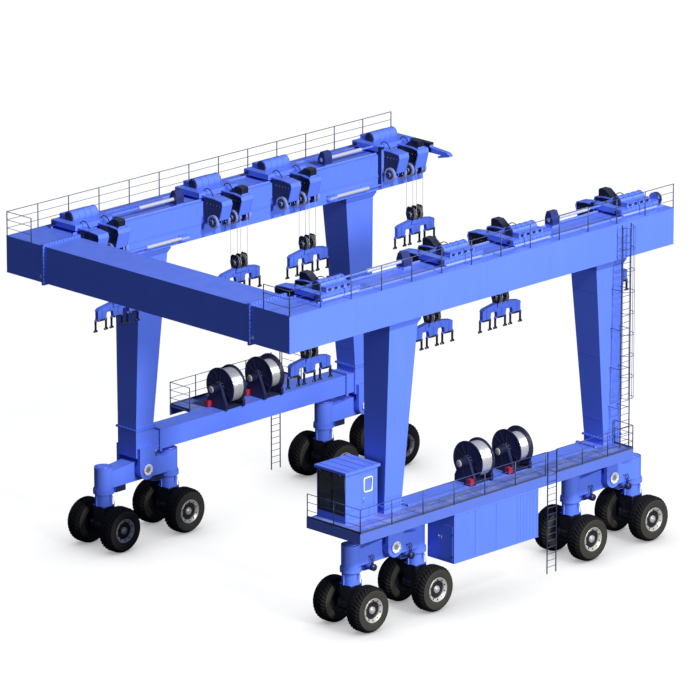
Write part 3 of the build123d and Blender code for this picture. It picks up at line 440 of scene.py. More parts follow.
# %% Mesh builder
class Builder:
    """Collects simple shapes in one mesh. Each shape is given a finish by name."""

    def __init__(self, name, body, slot):
        self.name, self.body, self.slot = name, body, slot
        self.mesh = bmesh.new()
        self.finishes = []

    def index(self, finish):
        """The number of a finish on this mesh, added when it is new."""
        if finish not in self.finishes:
            self.finishes.append(finish)
        return self.finishes.index(finish)

    def faces_of(self, verts, finish, smooth):
        """Give every face at these points a finish."""
        number = self.index(finish)
        for face in {face for vert in verts for face in vert.link_faces}:
            face.material_index = number
            face.smooth = smooth

    def box(self, centre, size, finish, bevel=0.0, turn=None):
        """A box round a centre, with rounded edges when it has a bevel."""
        matrix = Matrix.Translation(centre)
        if turn is not None:
            matrix = matrix @ turn
        matrix = matrix @ Matrix.Diagonal((*size, 1))
        made = bmesh.ops.create_cube(self.mesh, size=1.0, matrix=matrix)
        verts = made["verts"]
        if bevel:
            edges = list({edge for vert in verts for edge in vert.link_edges})
            cut = bmesh.ops.bevel(self.mesh, geom=edges, offset=bevel, segments=2,
                                  profile=0.6, affect="EDGES")
            verts = list({vert for face in cut["faces"] for vert in face.verts} |
                         {vert for vert in verts if vert.is_valid})
        self.faces_of(verts, finish, False)

    def span(self, corner, other, finish, bevel=0.0):
        """A box between two corners."""
        a, b = Vector(corner), Vector(other)
        size = [abs(p - q) for p, q in zip(a, b)]
        self.box((a + b) / 2, size, finish, bevel)

    def bar(self, start, end, radius, finish, sides=12):
        """A round bar between two points, smooth unless it has only six sides."""
        a, b = Vector(start), Vector(end)
        run = b - a
        turn = run.to_track_quat("Z", "Y").to_matrix().to_4x4()
        made = bmesh.ops.create_cone(
            self.mesh, cap_ends=True, segments=sides, radius1=radius, radius2=radius,
            depth=run.length, matrix=Matrix.Translation((a + b) / 2) @ turn)
        self.faces_of(made["verts"], finish, False)
        if sides > 6:
            for face in {face for vert in made["verts"] for face in vert.link_faces}:
                face.smooth = len(face.verts) == 4

    def tube(self, points, radius, finish, sides=8, closed=False):
        """A pipe along a list of points, mitred at the bends."""
        points = [Vector(point) for point in points]
        count = len(points)
        rings = []
        for place, point in enumerate(points):
            before = points[place - 1] if place or closed else point
            after = points[(place + 1) % count] if place < count - 1 or closed else point
            tangent = ((after - point).normalized() + (point - before).normalized())
            if tangent.length < 1e-6:
                tangent = after - before
            frame_turn = tangent.normalized().to_track_quat("Z", "Y").to_matrix()
            if rings:
                base = min(range(sides), key=lambda k: (
                    point + frame_turn @ Vector((radius * math.cos(2 * math.pi * k / sides),
                                                 radius * math.sin(2 * math.pi * k / sides), 0))
                    - rings[-1][0].co).length)
            else:
                base = 0
            ring = []
            for k in range(sides):
                angle = 2 * math.pi * (k + base) / sides
                offset = Vector((radius * math.cos(angle), radius * math.sin(angle), 0))
                ring.append(self.mesh.verts.new(point + frame_turn @ offset))
            rings.append(ring)
        number = self.index(finish)
        pairs = list(zip(rings, rings[1:])) + ([(rings[-1], rings[0])] if closed else [])
        for one, other in pairs:
            for k in range(sides):
                face = self.mesh.faces.new(
                    (one[k], one[(k + 1) % sides], other[(k + 1) % sides], other[k]))
                face.material_index, face.smooth = number, True
        if not closed:
            for ring, turn in ((rings[0], -1), (rings[-1], 1)):
                face = self.mesh.faces.new(ring[::turn])
                face.material_index = number

    def turned(self, profile, centre, axis, finish, sides=32, smooth=True):
        """A lathe shape: (along, radius) points spun about an axis through the centre."""
        turn = Vector(axis).to_track_quat("Z", "Y").to_matrix()
        centre = Vector(centre)
        rings = []
        for along, radius in profile:
            ring = []
            for k in range(sides):
                angle = 2 * math.pi * k / sides
                offset = Vector((radius * math.cos(angle), radius * math.sin(angle), along))
                ring.append(self.mesh.verts.new(centre + turn @ offset))
            rings.append(ring)
        number = self.index(finish)
        for one, other in zip(rings, rings[1:]):
            for k in range(sides):
                face = self.mesh.faces.new(
                    (one[k], one[(k + 1) % sides], other[(k + 1) % sides], other[k]))
                face.material_index, face.smooth = number, smooth
        for ring, turn_way in ((rings[0], -1), (rings[-1], 1)):
            face = self.mesh.faces.new(ring[::turn_way])
            face.material_index = number

    def plate(self, outline, thickness, finish):
        """A flat plate: 3-D outline points pushed along a thickness vector."""
        push = Vector(thickness)
        near = [self.mesh.verts.new(Vector(point)) for point in outline]
        far = [self.mesh.verts.new(Vector(point) + push) for point in outline]
        number = self.index(finish)
        faces = [self.mesh.faces.new(near[::-1]), self.mesh.faces.new(far)]
        for k in range(len(outline)):
            after = (k + 1) % len(outline)
            faces.append(self.mesh.faces.new((near[k], near[after], far[after], far[k])))
        for face in faces:
            face.material_index = number

    def bolt(self, place, axis, radius, finish="bolt_zinc"):
        """A hexagon head on a washer, standing out along an axis."""
        place, axis = Vector(place), Vector(axis).normalized()
        self.bar(place, place + axis * radius * 0.25, radius * 1.45, finish, 10)
        self.bar(place, place + axis * radius * 0.95, radius, finish, 6)

    def bolt_circle(self, centre, radius, axis, count, size, finish="bolt_zinc", shift=0.0):
        """Bolts on a circle round an axis along X, Y or Z. Shift is a share of one pitch."""
        side = Vector((1, 0, 0)) if axis[1] else Vector((0, 1, 0))
        rise = Vector((1, 0, 0)) if axis[2] else Vector((0, 0, 1))
        for k in range(count):
            angle = 2 * math.pi * (k + shift) / count
            spread = side * math.sin(angle) + rise * math.cos(angle)
            self.bolt(Vector(centre) + spread * radius, axis, size, finish)

    def mesh_data(self):
        """The finished mesh with its materials, ready for an object."""
        bmesh.ops.recalc_face_normals(self.mesh, faces=self.mesh.faces)
        data = bpy.data.meshes.new(self.name)
        self.mesh.to_mesh(data)
        self.mesh.free()
        for finish in self.finishes:
            data.materials.append(MATERIALS[finish])
        return data

    def finish(self, replaces=()):
        """Place the mesh in the scene, on its body."""
        data = self.mesh_data()
        made = bpy.data.objects.new(self.name, data)
        bpy.context.collection.objects.link(made)
        if self.body:
            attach(made, self.body)
        if replaces:
            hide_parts(*replaces)
        print(self.name, len(data.polygons), "faces")
        return made


def hose(builder, start, end, sag, radius=0.014, finish="tyre_black", steps=12):
    """A slack hose between two points, on one smooth curve that sags at its middle."""
    start, end, sag = Vector(start), Vector(end), Vector(sag)
    points = []
    for step in range(steps + 1):
        share = step / steps
        points.append(start.lerp(end, share) + sag * 4 * share * (1 - share))
    builder.tube(points, radius, finish, 8)


print("builder ready")

# %% [markdown]
# ## Paint on the carried-over CAD parts
# The structural parts already have their true shape, so they only change their paint. Each
# CAD object gets the finish that its real counterpart wears.

# %% Finishes of the CAD nodes
NODE_FINISH = {"cab_glass": "cab_glass_clear", "rails_and_ladders": "rail_grey",
               "reel_stands": "navy", "walkways": "deck_plate"}
STEM_FINISH = {"reel": "drum_steel", "ropes": "rope_wire", "wheels": "tyre_black"}


def finish_for(node):
    if node in NODE_FINISH:
        return NODE_FINISH[node]
    return STEM_FINISH.get(node.split("_")[0], "hull_blue")


for node, made in frame["nodes"].items():
    made.data.materials.clear()
    made.data.materials.append(MATERIALS[finish_for(node)])
print("finished", len(frame["nodes"]), "CAD nodes")

# %% [markdown]
# ## Wheels
# Each axle carries two wide tyres. The real tread is deep blocks set in a herringbone. It
# could be painted as bump, but its teeth show on the outline of the tyre, so the rings of
# the tread are modelled: points in a groove simply sit deeper. One pair is built once and
# its mesh is shared by all eight axles.

# %% Tyre and rim
WHEEL_STEPS = 180
LUG_STEPS = 5               # steps round the tyre for one block and its groove
GROOVE_STEPS = 2
GROOVE_DEPTH = 0.034
TREAD_ROWS = 13
TYRE_SHARE = 0.557          # width of one tyre, as a share of half the axle
RIM_SHARE = 0.534           # rim, shoulder and flank, as shares of the tyre radius
SHOULDER, FLANK = 0.87, 0.8
TREAD_SHARE = 0.955         # the tread is nearly as wide as the tyre
CROWN_DROP, CROWN_EDGE = 0.11, 0.55     # how far the tread falls away, and from where

wheel_low, wheel_high = low("wheels_back_right_a"), high("wheels_back_right_a")
tyre_radius = (wheel_high.z - wheel_low.z) / 2
tyre_outer = (wheel_high.x - wheel_low.x) / 2
tyre_width = tyre_outer * TYRE_SHARE
tyre_inner = tyre_outer - tyre_width
tyre_middle = tyre_outer - tyre_width / 2
rim_radius = tyre_radius * RIM_SHARE
bead = 0.06


def tyre_profile():
    """Rows across the tyre: (along the axle, radius, groove depth, finish)."""
    rows = [(tyre_inner + bead, rim_radius, 0, "sidewall_olive"),
            (tyre_inner, rim_radius + bead, 0, "sidewall_olive"),
            (tyre_inner, tyre_radius * FLANK, 0, "sidewall_olive"),
            (tyre_inner, tyre_radius * SHOULDER, 0, "tyre_black")]
    half = tyre_width / 2
    for row in range(TREAD_ROWS):
        across = -1 + 2 * row / (TREAD_ROWS - 1)
        drop = CROWN_DROP * max(0.0, abs(across) - CROWN_EDGE) ** 1.6 / 0.45 ** 1.6
        along = tyre_middle + across * half * TREAD_SHARE
        depth = 0.0 if abs(across) < 0.09 else GROOVE_DEPTH
        rows.append((along, tyre_radius - drop, depth, "tyre_black"))
    outer = [(tyre_outer, tyre_radius * SHOULDER, 0, "tyre_black"),
             (tyre_outer, tyre_radius * FLANK, 0, "sidewall_olive"),
             (tyre_outer, rim_radius + bead * 1.9, 0, "sidewall_olive"),
             (tyre_outer - 0.008, rim_radius + bead, 0, "sidewall_olive"),
             (tyre_outer - bead * 0.5, rim_radius, 0, "sidewall_olive")]
    return rows + outer


def in_groove(step, across):
    """True on the part of a ring that lies between two tread blocks."""
    skew = round(abs(across) * 6)
    return (step + skew) % LUG_STEPS < GROOVE_STEPS


def add_tyre(builder, turn, centre):
    rings = []
    profile = tyre_profile()
    for along, radius, depth, _ in profile:
        across = (along - tyre_middle) / (tyre_width / 2)
        ring = []
        for step in range(WHEEL_STEPS):
            angle = 2 * math.pi * step / WHEEL_STEPS
            reach = radius - (depth if depth and in_groove(step, across) else 0)
            offset = Vector((turn * along, reach * math.sin(angle), reach * math.cos(angle)))
            ring.append(builder.mesh.verts.new(centre + offset))
        rings.append(ring)
    for row, (one, other) in enumerate(zip(rings, rings[1:])):
        finish = profile[row + 1][3] if profile[row][3] == "tyre_black" else profile[row][3]
        number = builder.index(finish)
        for k in range(WHEEL_STEPS):
            after = (k + 1) % WHEEL_STEPS
            face = builder.mesh.faces.new((one[k], one[after], other[after], other[k]))
            face.material_index = number
            face.smooth = finish == "sidewall_olive"


def add_rim(builder, turn, centre):
    """Silver rim ring round a dark, deep recess, with a silver hub and its nuts."""
    face = tyre_outer
    ring = [(face - 0.03, rim_radius - 0.002), (face, rim_radius - 0.012),
            (face - 0.006, rim_radius * 0.95), (face - 0.05, rim_radius * 0.88),
            (face - 0.055, rim_radius * 0.76), (face - 0.075, rim_radius * 0.73),
            (face - 0.13, rim_radius * 0.72)]
    spin(builder, ring, turn, centre, "rim_steel")
    well = [(face - 0.128, rim_radius * 0.73), (face - 0.128, 0.12)]
    spin(builder, well, turn, centre, "black_iron")
    hub = [(face - 0.13, 0.165), (face - 0.08, 0.16), (face - 0.065, 0.14), (face - 0.06, 0.09),
           (face - 0.045, 0.08), (face - 0.04, 0.0)]
    spin(builder, hub, turn, centre, "rim_steel")
    builder.bolt_circle(centre + Vector((turn * (face - 0.056), 0, 0)), rim_radius * 0.82,
                        (turn, 0, 0), 10, 0.026, "black_iron")
    builder.bolt_circle(centre + Vector((turn * (face - 0.064), 0, 0)), 0.122,
                        (turn, 0, 0), 8, 0.018, shift=0.5)


def spin(builder, profile, turn, centre, finish, sides=48):
    """Spin (along, radius) points about the axle, open at both ends."""
    number = builder.index(finish)
    rings = []
    for along, radius in profile:
        rings.append([builder.mesh.verts.new(centre + Vector((
            turn * along, max(radius, 0.001) * math.sin(2 * math.pi * k / sides),
            max(radius, 0.001) * math.cos(2 * math.pi * k / sides)))) for k in range(sides)])
    for one, other in zip(rings, rings[1:]):
        for k in range(sides):
            after = (k + 1) % sides
            face = builder.mesh.faces.new((one[k], one[after], other[after], other[k]))
            face.material_index, face.smooth = number, True


def build_wheel_mesh():
    builder = Builder("wheel_pair", "", "")
    origin = Vector((0, 0, 0))
    for turn in (-1, 1):
        add_tyre(builder, turn, origin)
        add_rim(builder, turn, origin)
        inner_face = [(tyre_inner + bead, rim_radius), (tyre_inner + bead + 0.01, 0.16)]
        spin(builder, inner_face, turn, origin, "black_iron")
        builder.bar((turn * (tyre_inner + bead), 0, 0), (0, 0, 0), 0.148, "black_iron", 32)
    return builder.mesh_data()


wheel_mesh = build_wheel_mesh()
for side in SIDES:
    for end in ENDS:
        for place in "ab":
            node = f"wheels_{end}_{side}_{place}"
            pair = bpy.data.objects.new(f"tyres_{end}_{side}_{place}", wheel_mesh)
            pair.location = middle(node)
            bpy.context.collection.objects.link(pair)
            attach(pair, BODY_OF[node])
            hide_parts(node)
print("wheel pair", len(wheel_mesh.polygons), "faces, shared by 8 axles")

# %% [markdown]
# ## Guard rails and ladders
# The rails are thin round tube: posts about every 1.8 m, a top rail and two middle rails.
# The square bars of the CAD hold their place, and this piece replaces them with round tube,
# base plates and a toe board. The tall ladder at the front leg gets its safety cage of
# hoops and straps. All of it is one joined mesh, because there are hundreds of bars.

# %% Rails
RAIL_HEIGHT = 1.1
POST_RADIUS, RAIL_TUBE = 0.024, 0.018
POST_PITCH = 1.76
END_RAIL = 1.54         # a girder's back end has a rail this far inwards
LEG_LADDER_X, LEG_LADDER_Y = 9.05, 8.45
CAGE_START = 2.3        # the safety cage starts this high above the deck
LADDER_BRACES = (6.6, 8.4, 10.2, 12.0)
edge = 0.025
girder_outer = high("girders").x
frame_back = low("girders").y + 0.09
frame_front = high("girders").y
deck_outer = high("walkways").x
deck_back, deck_front = low("walkways").y, high("walkways").y
cab_deck_inner = 6.3
left_back, left_front = -1.4, 5.65      # ends of the left deck
right_ladder_y, left_ladder_y = 3.3, 5.28
ladder_gap = 0.36


def rail_run(builder, start, end, toe_board=False):
    """A straight guard rail between two points on a deck."""
    start, end = Vector(start), Vector(end)
    run = end - start
    count = max(1, round(run.length / POST_PITCH))
    up = Vector((0, 0, 1))
    for step in range(count + 1):
        foot = start + run * step / count
        builder.bar(foot, foot + up * (RAIL_HEIGHT - 0.02), POST_RADIUS, "rail_grey", 8)
        builder.box(foot + up * 0.006, (0.048, 0.048, 0.012), "rail_grey")
    for level, radius in ((1 / 3, 0.013), (2 / 3, 0.013), (1, RAIL_TUBE)):
        lift = up * (RAIL_HEIGHT * level - RAIL_TUBE - 0.002)
        builder.bar(start + lift, end + lift, radius, "rail_grey", 8)
    if toe_board:
        side = run.normalized()
        size = (abs(side.x) * run.length + 0.006, abs(side.y) * run.length + 0.006, 0.1)
        builder.box((start + end) / 2 + up * 0.05, size, "rail_grey")


def ladder(builder, x, y, foot, top, rung_pitch=0.3, width=0.62):
    """Flat-bar stiles and round rungs, in the plane of Y and Z."""
    for turn in (-1, 1):
        place = y + turn * (width / 2 - 0.03)
        builder.span((x - 0.03, place - 0.008, foot), (x + 0.03, place + 0.008, top),
                     "rail_grey")
    rungs = int((top - foot - rung_pitch) / rung_pitch)
    for step in range(rungs):
        z = foot + rung_pitch * (step + 1)
        builder.bar((x, y - width / 2 + 0.03, z), (x, y + width / 2 - 0.03, z), 0.014,
                    "rail_grey", 8)


def safety_cage(builder, x, y, foot, top, reach=0.4, pitch=0.9):
    """Hoops round a climber's back, joined by five straps."""
    hoops = int((top - foot) / pitch)
    turns = [math.pi * k / 12 for k in range(13)]
    outline = [(x + reach * math.sin(t), y - 0.33 * math.cos(t)) for t in turns]
    for step in range(hoops + 1):
        z = foot + (top - foot) * step / hoops
        builder.tube([(px, py, z) for px, py in outline], 0.014, "rail_grey", 6)
    for k in (1, 4, 6, 8, 11):
        px, py = outline[k]
        builder.bar((px, py, foot), (px, py, top), 0.011, "rail_grey", 6)


rails = Builder("guard_rails", "frame", "rail_paint")
for turn in SIDES.values():
    x = turn * (girder_outer - edge)
    rail_run(rails, (x, frame_back + edge, girder_top), (x, frame_front - edge, girder_top))
    rail_run(rails, (x, frame_back + edge, girder_top),
             (x - turn * END_RAIL, frame_back + edge, girder_top))
outer_x = deck_outer - edge
rail_run(rails, (outer_x, deck_back + edge, deck_top),
         (outer_x, right_ladder_y - ladder_gap, deck_top), True)
rail_run(rails, (outer_x, right_ladder_y + ladder_gap, deck_top),
         (outer_x, deck_front - edge, deck_top), True)
rail_run(rails, (cab_deck_inner + edge, deck_back + edge, deck_top),
         (outer_x, deck_back + edge, deck_top), True)
rail_run(rails, (track + 0.72, deck_front - edge, deck_top),
         (outer_x, deck_front - edge, deck_top), True)
rail_run(rails, (-outer_x, left_back + edge, deck_top),
         (-outer_x, left_ladder_y - ladder_gap, deck_top), True)
for y in (left_back + edge, left_front - edge):
    rail_run(rails, (-outer_x, y, deck_top), (-(track + 0.57), y, deck_top), True)
ladder_x = deck_outer + 0.03
ground_foot = low("rails_and_ladders").z
hoop_top = deck_top + RAIL_HEIGHT
ladder(rails, ladder_x, right_ladder_y, ground_foot, hoop_top)
ladder(rails, -ladder_x, left_ladder_y, ground_foot, hoop_top)
ladder(rails, LEG_LADDER_X, LEG_LADDER_Y, deck_top, girder_top)
safety_cage(rails, LEG_LADDER_X, LEG_LADDER_Y, deck_top + CAGE_START, girder_top - 0.1)
for z in LADDER_BRACES:
    for turn in (-1, 1):
        y = LEG_LADDER_Y + turn * 0.28
        rails.bar((LEG_LADDER_X, y, z), (track + 0.62 + (z - 5.1) * 0.024, y, z), 0.016,
                  "rail_grey", 8)
rails.finish(replaces=["rails_and_ladders"])

# %% [markdown]
# ## Hoist ropes
# Four falls of wire hang between the upper and the lower sheaves. The spreader travels up
# and down, so a fall spans two bodies; here each fall is built where it hangs now and is
# attached to none. Three strands are laid round each other, so that it reads as wire. Each
# strand is a thin tube with many rings along it.

# %% Ropes
ROPE_RADIUS = 0.016         # of the rope's CAD stand-in
STRAND_RADIUS = 0.006
STRAND_LAY = 0.34           # metres along the rope for one turn of a strand
STRANDS, ROPE_RINGS = 3, 96
upper_z = high("ropes_left_1").z
lower_z = low("ropes_left_1").z


def rope_fall(builder, x, y):
    """One fall of wire: strands wound round an upright line."""
    for strand in range(STRANDS):
        points = []
        for ring in range(ROPE_RINGS + 1):
            z = lower_z + (upper_z - lower_z) * ring / ROPE_RINGS
            angle = 2 * math.pi * (strand / STRANDS + (z - lower_z) / STRAND_LAY)
            points.append((x + STRAND_RADIUS * math.cos(angle),
                           y + STRAND_RADIUS * math.sin(angle), z))
        builder.tube(points, STRAND_RADIUS, "rope_wire", 5)


for side in SIDES:
    for number in range(1, 5):
        node = f"ropes_{side}_{number}"
        centre = middle(node)
        reach = (high(node) - low(node)) / 2
        builder = Builder(f"rope_falls_{side}_{number}", None, "rope_wire")
        for turn in (-1, 1):
            for place in (-1, 1):
                rope_fall(builder, centre.x + turn * (reach.x - ROPE_RADIUS),
                          centre.y + place * (reach.y - ROPE_RADIUS))
        falls = builder.finish(replaces=[node])
        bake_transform(falls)

# %% [markdown]
# ## Rope reels
# Each reel is a dark flanged drum full of bright steel rope. The rope layers are one
# revolved profile: a row of half-round grooves. The flanges are turned discs with a rolled
# rim, twelve stiffening ribs and a ring of nuts.

# %% Reels
REEL_FLANGE = 0.04
DRUM_SHARE = {1: 0.86, 2: 0.72}     # how full each reel is, as a share of its flange
ROPE_WRAPS = 34


def build_reel(side, number):
    """A drum of rope between two ribbed flanges, on one shaft."""
    node = f"reel_{side}_{number}"
    centre = middle(node)
    radius = (high(node).z - low(node).z) / 2
    shaft = (high(node).y - low(node).y) / 2
    half = shaft - 0.21
    builder = Builder(f"rope_reel_{side}_{number}", BODY_OF[node], "bright_steel")
    inner = half - REEL_FLANGE
    pitch = 2 * inner / ROPE_WRAPS
    drum = radius * DRUM_SHARE[number]
    profile = [(-inner, drum * 0.9)]
    for wrap in range(ROPE_WRAPS):
        start = -inner + wrap * pitch
        for share in (0.0, 0.2, 0.5, 0.8):
            lift = math.sqrt(max(0.0, 1 - (2 * share - 1) ** 2)) * pitch * 0.5
            profile.append((start + share * pitch, drum - pitch * 0.5 + lift))
    profile.append((inner, drum * 0.9))
    builder.turned(profile, centre, (0, 1, 0), "drum_steel", 64)
    for turn in (-1, 1):
        face = half * turn
        thick = turn * REEL_FLANGE
        disc = [(face - thick, 0.12), (face - thick, radius - 0.012),
                (face - thick * 0.8, radius), (face - thick * 0.2, radius),
                (face, radius - 0.012), (face, radius - 0.06),
                (face - turn * 0.012, radius - 0.07), (face - turn * 0.012, 0.3),
                (face, 0.28), (face, 0.12)]
        builder.turned(disc, centre, (0, 1, 0), "reel_navy", 72, smooth=False)
        for rib in range(12):
            angle = 2 * math.pi * rib / 12
            middle_r = (0.28 + radius - 0.07) / 2
            place = centre + Vector((middle_r * math.sin(angle), face - turn * 0.006,
                                     middle_r * math.cos(angle)))
            rib_turn = Matrix.Rotation(angle, 4, "Y")
            builder.box(place, (0.02, 0.012, radius - 0.37), "reel_navy", turn=rib_turn)
        builder.bolt_circle(centre + Vector((0, face, 0)), 0.23, (0, turn, 0), 10, 0.018)
    builder.bar(centre - Vector((0, shaft, 0)), centre + Vector((0, shaft, 0)), 0.09,
                "bolt_zinc", 32)
    builder.finish(replaces=[node])


for side in SIDES:
    for number in (1, 2):
        build_reel(side, number)

# %% [markdown]
# ## Two-tone castings
# A trolley is one welded body, but it wears two finishes: blue on its carriage and nearly
# black on the flat sides and horns of its sheave heads. The black on the flat sides is partly
# dark paint and partly painted shade. The spreader is blue with dark links and a dark rope
# block. Cutting the meshes is not needed: the paint reads the object's own coordinates and
# picks a finish from the height or from the way a face looks.

# %% Masks and two-tone paints
def above(tree, value, edge, blur=0.004):
    """1 where a value is over an edge, 0 where it is under."""
    return ramp(tree, value, edge - blur, edge + blur)


def axis_values(tree, vector, absolute=False):
    """X, Y and Z of a vector, without their signs if absolute."""
    split = add_node(tree, "ShaderNodeSeparateXYZ")
    tree.links.new(vector, split.inputs[0])
    values = list(split.outputs)
    return [maths(tree, "ABSOLUTE", value, 0.0) for value in values] if absolute else values


def rod_mask(tree, x, z, radius):
    """1 inside a bar along Y on either side of the machine, whatever its length."""
    place = object_place(tree)
    across, _, height = axis_values(tree, place)
    across = maths(tree, "SUBTRACT", maths(tree, "ABSOLUTE", across, 0.0), x)
    height = maths(tree, "SUBTRACT", height, z)
    square = maths(tree, "ADD", maths(tree, "MULTIPLY", across, across),
                   maths(tree, "MULTIPLY", height, height))
    outside = above(tree, maths(tree, "SQRT", square, 0.0), radius + 0.006, 0.003)
    return maths(tree, "SUBTRACT", 1.0, outside)


def paint_node(tree):
    """The weathered paint group inside a material."""
    return next(node for node in tree.nodes if node.type == "GROUP")


def two_tone(name, first, second, mask, steel=False):
    """Paint whose colour changes where the mask is 1, and which may turn to bare steel."""
    made = painted(name, first)
    tree, shader = made.node_tree, made.node_tree.nodes["Principled BSDF"]
    share = mask(tree)
    tree.links.new(mix_colour(tree, share, (*first, 1), (*second, 1)),
                   paint_node(tree).inputs["Colour"])
    if steel:
        tree.links.new(maths(tree, "MULTIPLY", share, 0.55), shader.inputs["Metallic"])
    return made


DARK = (0.008, 0.009, 0.022)
STAND_NAVY = (0.02, 0.03, 0.16)
BRIGHT_ROD = (0.86, 0.88, 0.92)
ROD_RADIUS = 0.085
FORK_TOP = 1.92         # yokes are dark below this height
GIRDER_WIDTH = 2.05
ARM_TIP = 5.37          # the cable arm lies inside this and keeps the blue paint
foot_top = low("spreader_right_1").z + 0.54
block_base = foot_top + 0.63
girder_inner = girder_outer - GIRDER_WIDTH
head_face_x = girder_inner - 0.02
top_rod_x, top_rod_z = girder_inner + 0.33, girder_top + 0.33
low_rod_x, low_rod_z = girder_inner - 0.145, girder_bottom + 0.27


def spreader_mask(tree):
    """1 on the links below the beam and on the rope block above it."""
    height = axis_values(tree, object_place(tree))[2]
    below = maths(tree, "SUBTRACT", 1.0, above(tree, height, foot_top - 0.07))
    return maths(tree, "MAXIMUM", below, above(tree, height, block_base))


def trolley_dark_and_shade_mask(tree):
    """1 on the flat sides and the horns of the sheave heads; the dark on the flat sides is partly painted shade.
    """
    coordinates = add_node(tree, "ShaderNodeTexCoord")
    across, _, height = axis_values(tree, coordinates.outputs["Object"], absolute=True)
    looks = axis_values(tree, coordinates.outputs["Normal"], absolute=True)[1]
    bay_side = maths(tree, "SUBTRACT", above(tree, across, ARM_TIP),
                     above(tree, across, head_face_x))
    # Faces of the heads turned along Y: their dark is partly paint and partly painted shade.
    flat = maths(tree, "MULTIPLY", bay_side, above(tree, looks, 0.9))
    horn = maths(tree, "MULTIPLY", bay_side, above(tree, height, girder_top + 0.27))
    return maths(tree, "MAXIMUM", flat, horn)


def rods_mask(tree):
    """1 on the cylinder rods that lie along the girders."""
    return maths(tree, "MAXIMUM", rod_mask(tree, top_rod_x, top_rod_z, ROD_RADIUS),
                 rod_mask(tree, low_rod_x, low_rod_z, ROD_RADIUS))


def yoke_mask(tree):
    """1 on the fork between the tyres, 0 on the column above it."""
    height = axis_values(tree, object_place(tree))[2]
    return maths(tree, "SUBTRACT", 1.0, above(tree, height, FORK_TOP, 0.03))


def stands_mask(tree):
    """1 on the cylinder stands, which rise above the rails on top of a girder."""
    place = object_place(tree)
    across, _, height = axis_values(tree, place, absolute=True)
    inside = maths(tree, "SUBTRACT", 1.0, above(tree, across, top_rod_x + 0.35))
    stands = maths(tree, "MULTIPLY", inside, above(tree, height, girder_top + 0.12))
    return maths(tree, "MULTIPLY", stands, maths(tree, "SUBTRACT", 1.0, rods_mask(tree)))


two_tone("yoke_paint", BLUE, DARK, yoke_mask)
two_tone("spreader_paint", BLUE, DARK, spreader_mask)
two_tone("trolley_paint_and_shade", BLUE, DARK, trolley_dark_and_shade_mask)
girder_paint = two_tone("girder_paint", BLUE, BRIGHT_ROD, rods_mask, steel=True)
tree = girder_paint.node_tree
colour_in = paint_node(tree).inputs["Colour"]
tree.links.new(mix_colour(tree, stands_mask(tree), colour_in.links[0].from_socket,
                          (*STAND_NAVY, 1)), colour_in)
for node, made in frame["nodes"].items():
    finish = {"yoke": "yoke_paint", "spreader": "spreader_paint", "trolley": "trolley_paint_and_shade",
              "girders": "girder_paint"}.get(node.split("_")[0])
    if finish:
        made.data.materials[0] = MATERIALS[finish]
print("two-tone paints ready")

# %% [markdown]
# ## Bolts, seams and rails of the portal
# Big welded boxes look real through their joints: flanges full of bolts, thin weld seams
# between plates, lips on the girder edges and bright rail heads. They are small next to the
# machine, so they are boxes and six-sided bars in one mesh.

# %% Portal fittings
BOLT = 0.026
SEAM_PITCH = 3.95
portal = Builder("portal_fittings", "frame", "blue_paint")


def bolt_frame(builder, plane, corner, other, axis, pitch):
    """Bolts round a rectangle that lies across X or Y, from corner to other."""
    (a0, z0), (a1, z1) = corner, other
    wide = max(2, round((a1 - a0) / pitch))
    tall = max(2, round((z1 - z0) / pitch))
    spots = [(a0 + (a1 - a0) * k / wide, z) for k in range(wide + 1) for z in (z0, z1)]
    spots += [(a, z0 + (z1 - z0) * k / tall) for k in range(1, tall) for a in (a0, a1)]
    for a, z in spots:
        place = (plane, a, z) if abs(axis[0]) else (a, plane, z)
        builder.bolt(place, axis, BOLT, "bolt_blue")


crossbeam_back = low("crossbeam").y + 0.09
crossbeam_front = high("crossbeam").y - 0.09
splice = high("crossbeam").x
for turn in SIDES.values():
    for place, axis in ((splice - 0.06, -turn), (splice + 0.06, turn)):
        bolt_frame(portal, turn * place, (crossbeam_back - 0.045, girder_bottom - 0.045),
                   (crossbeam_front + 0.045, girder_top + 0.045), (axis, 0, 0), 0.17)
for turn in SIDES.values():
    for x in (girder_outer, girder_inner):
        out = 0.02 if x == girder_outer else -0.02
        for z0, z1 in ((girder_top - 0.02, girder_top), (girder_bottom, girder_bottom + 0.02)):
            portal.span((turn * x, crossbeam_front + 0.1 if out < 0 else frame_back, z0),
                        (turn * (x + out), frame_front, z1), "hull_blue")
    for rail_x in (track - 0.885, track + 0.52):
        portal.span((turn * (rail_x - 0.02), crossbeam_front + 0.12, girder_top + 0.06),
                    (turn * (rail_x + 0.02), frame_front - 0.12, girder_top + 0.065),
                    "rim_steel")
    seams = int((frame_front - frame_back) / SEAM_PITCH)
    for step in range(1, seams + 1):
        y = frame_back + SEAM_PITCH * step
        portal.span((turn * girder_outer, y - 0.008, girder_bottom + 0.03),
                    (turn * (girder_outer + 0.004), y + 0.008, girder_top - 0.03), "hull_blue")
        portal.span((turn * (girder_inner - 0.004), y - 0.008, girder_bottom + 0.03),
                    (turn * girder_inner, y + 0.008, girder_bottom + 0.6), "hull_blue")
    bolt_frame(portal, frame_front, (turn * track - 0.35, girder_bottom + 0.45),
               (turn * track + 0.35, girder_bottom + 1.2), (0, 1, 0), 0.12)
    portal.span((turn * track - 0.4, frame_front, girder_bottom + 0.4),
                (turn * track + 0.4, frame_front + 0.012, girder_bottom + 1.25), "hull_blue")
for step in range(-1, 2):
    portal.span((step * 3.1 - 0.008, crossbeam_back - 0.004, girder_bottom + 0.03),
                (step * 3.1 + 0.008, crossbeam_back, girder_top - 0.03), "hull_blue")
portal.finish()

# %% [markdown]
# ## Legs, saddles and sills
# Each leg stands on a bolted foot plate. The saddle below it carries the rocker on one
# thick pin, whose bright end cap shows on both cheeks.

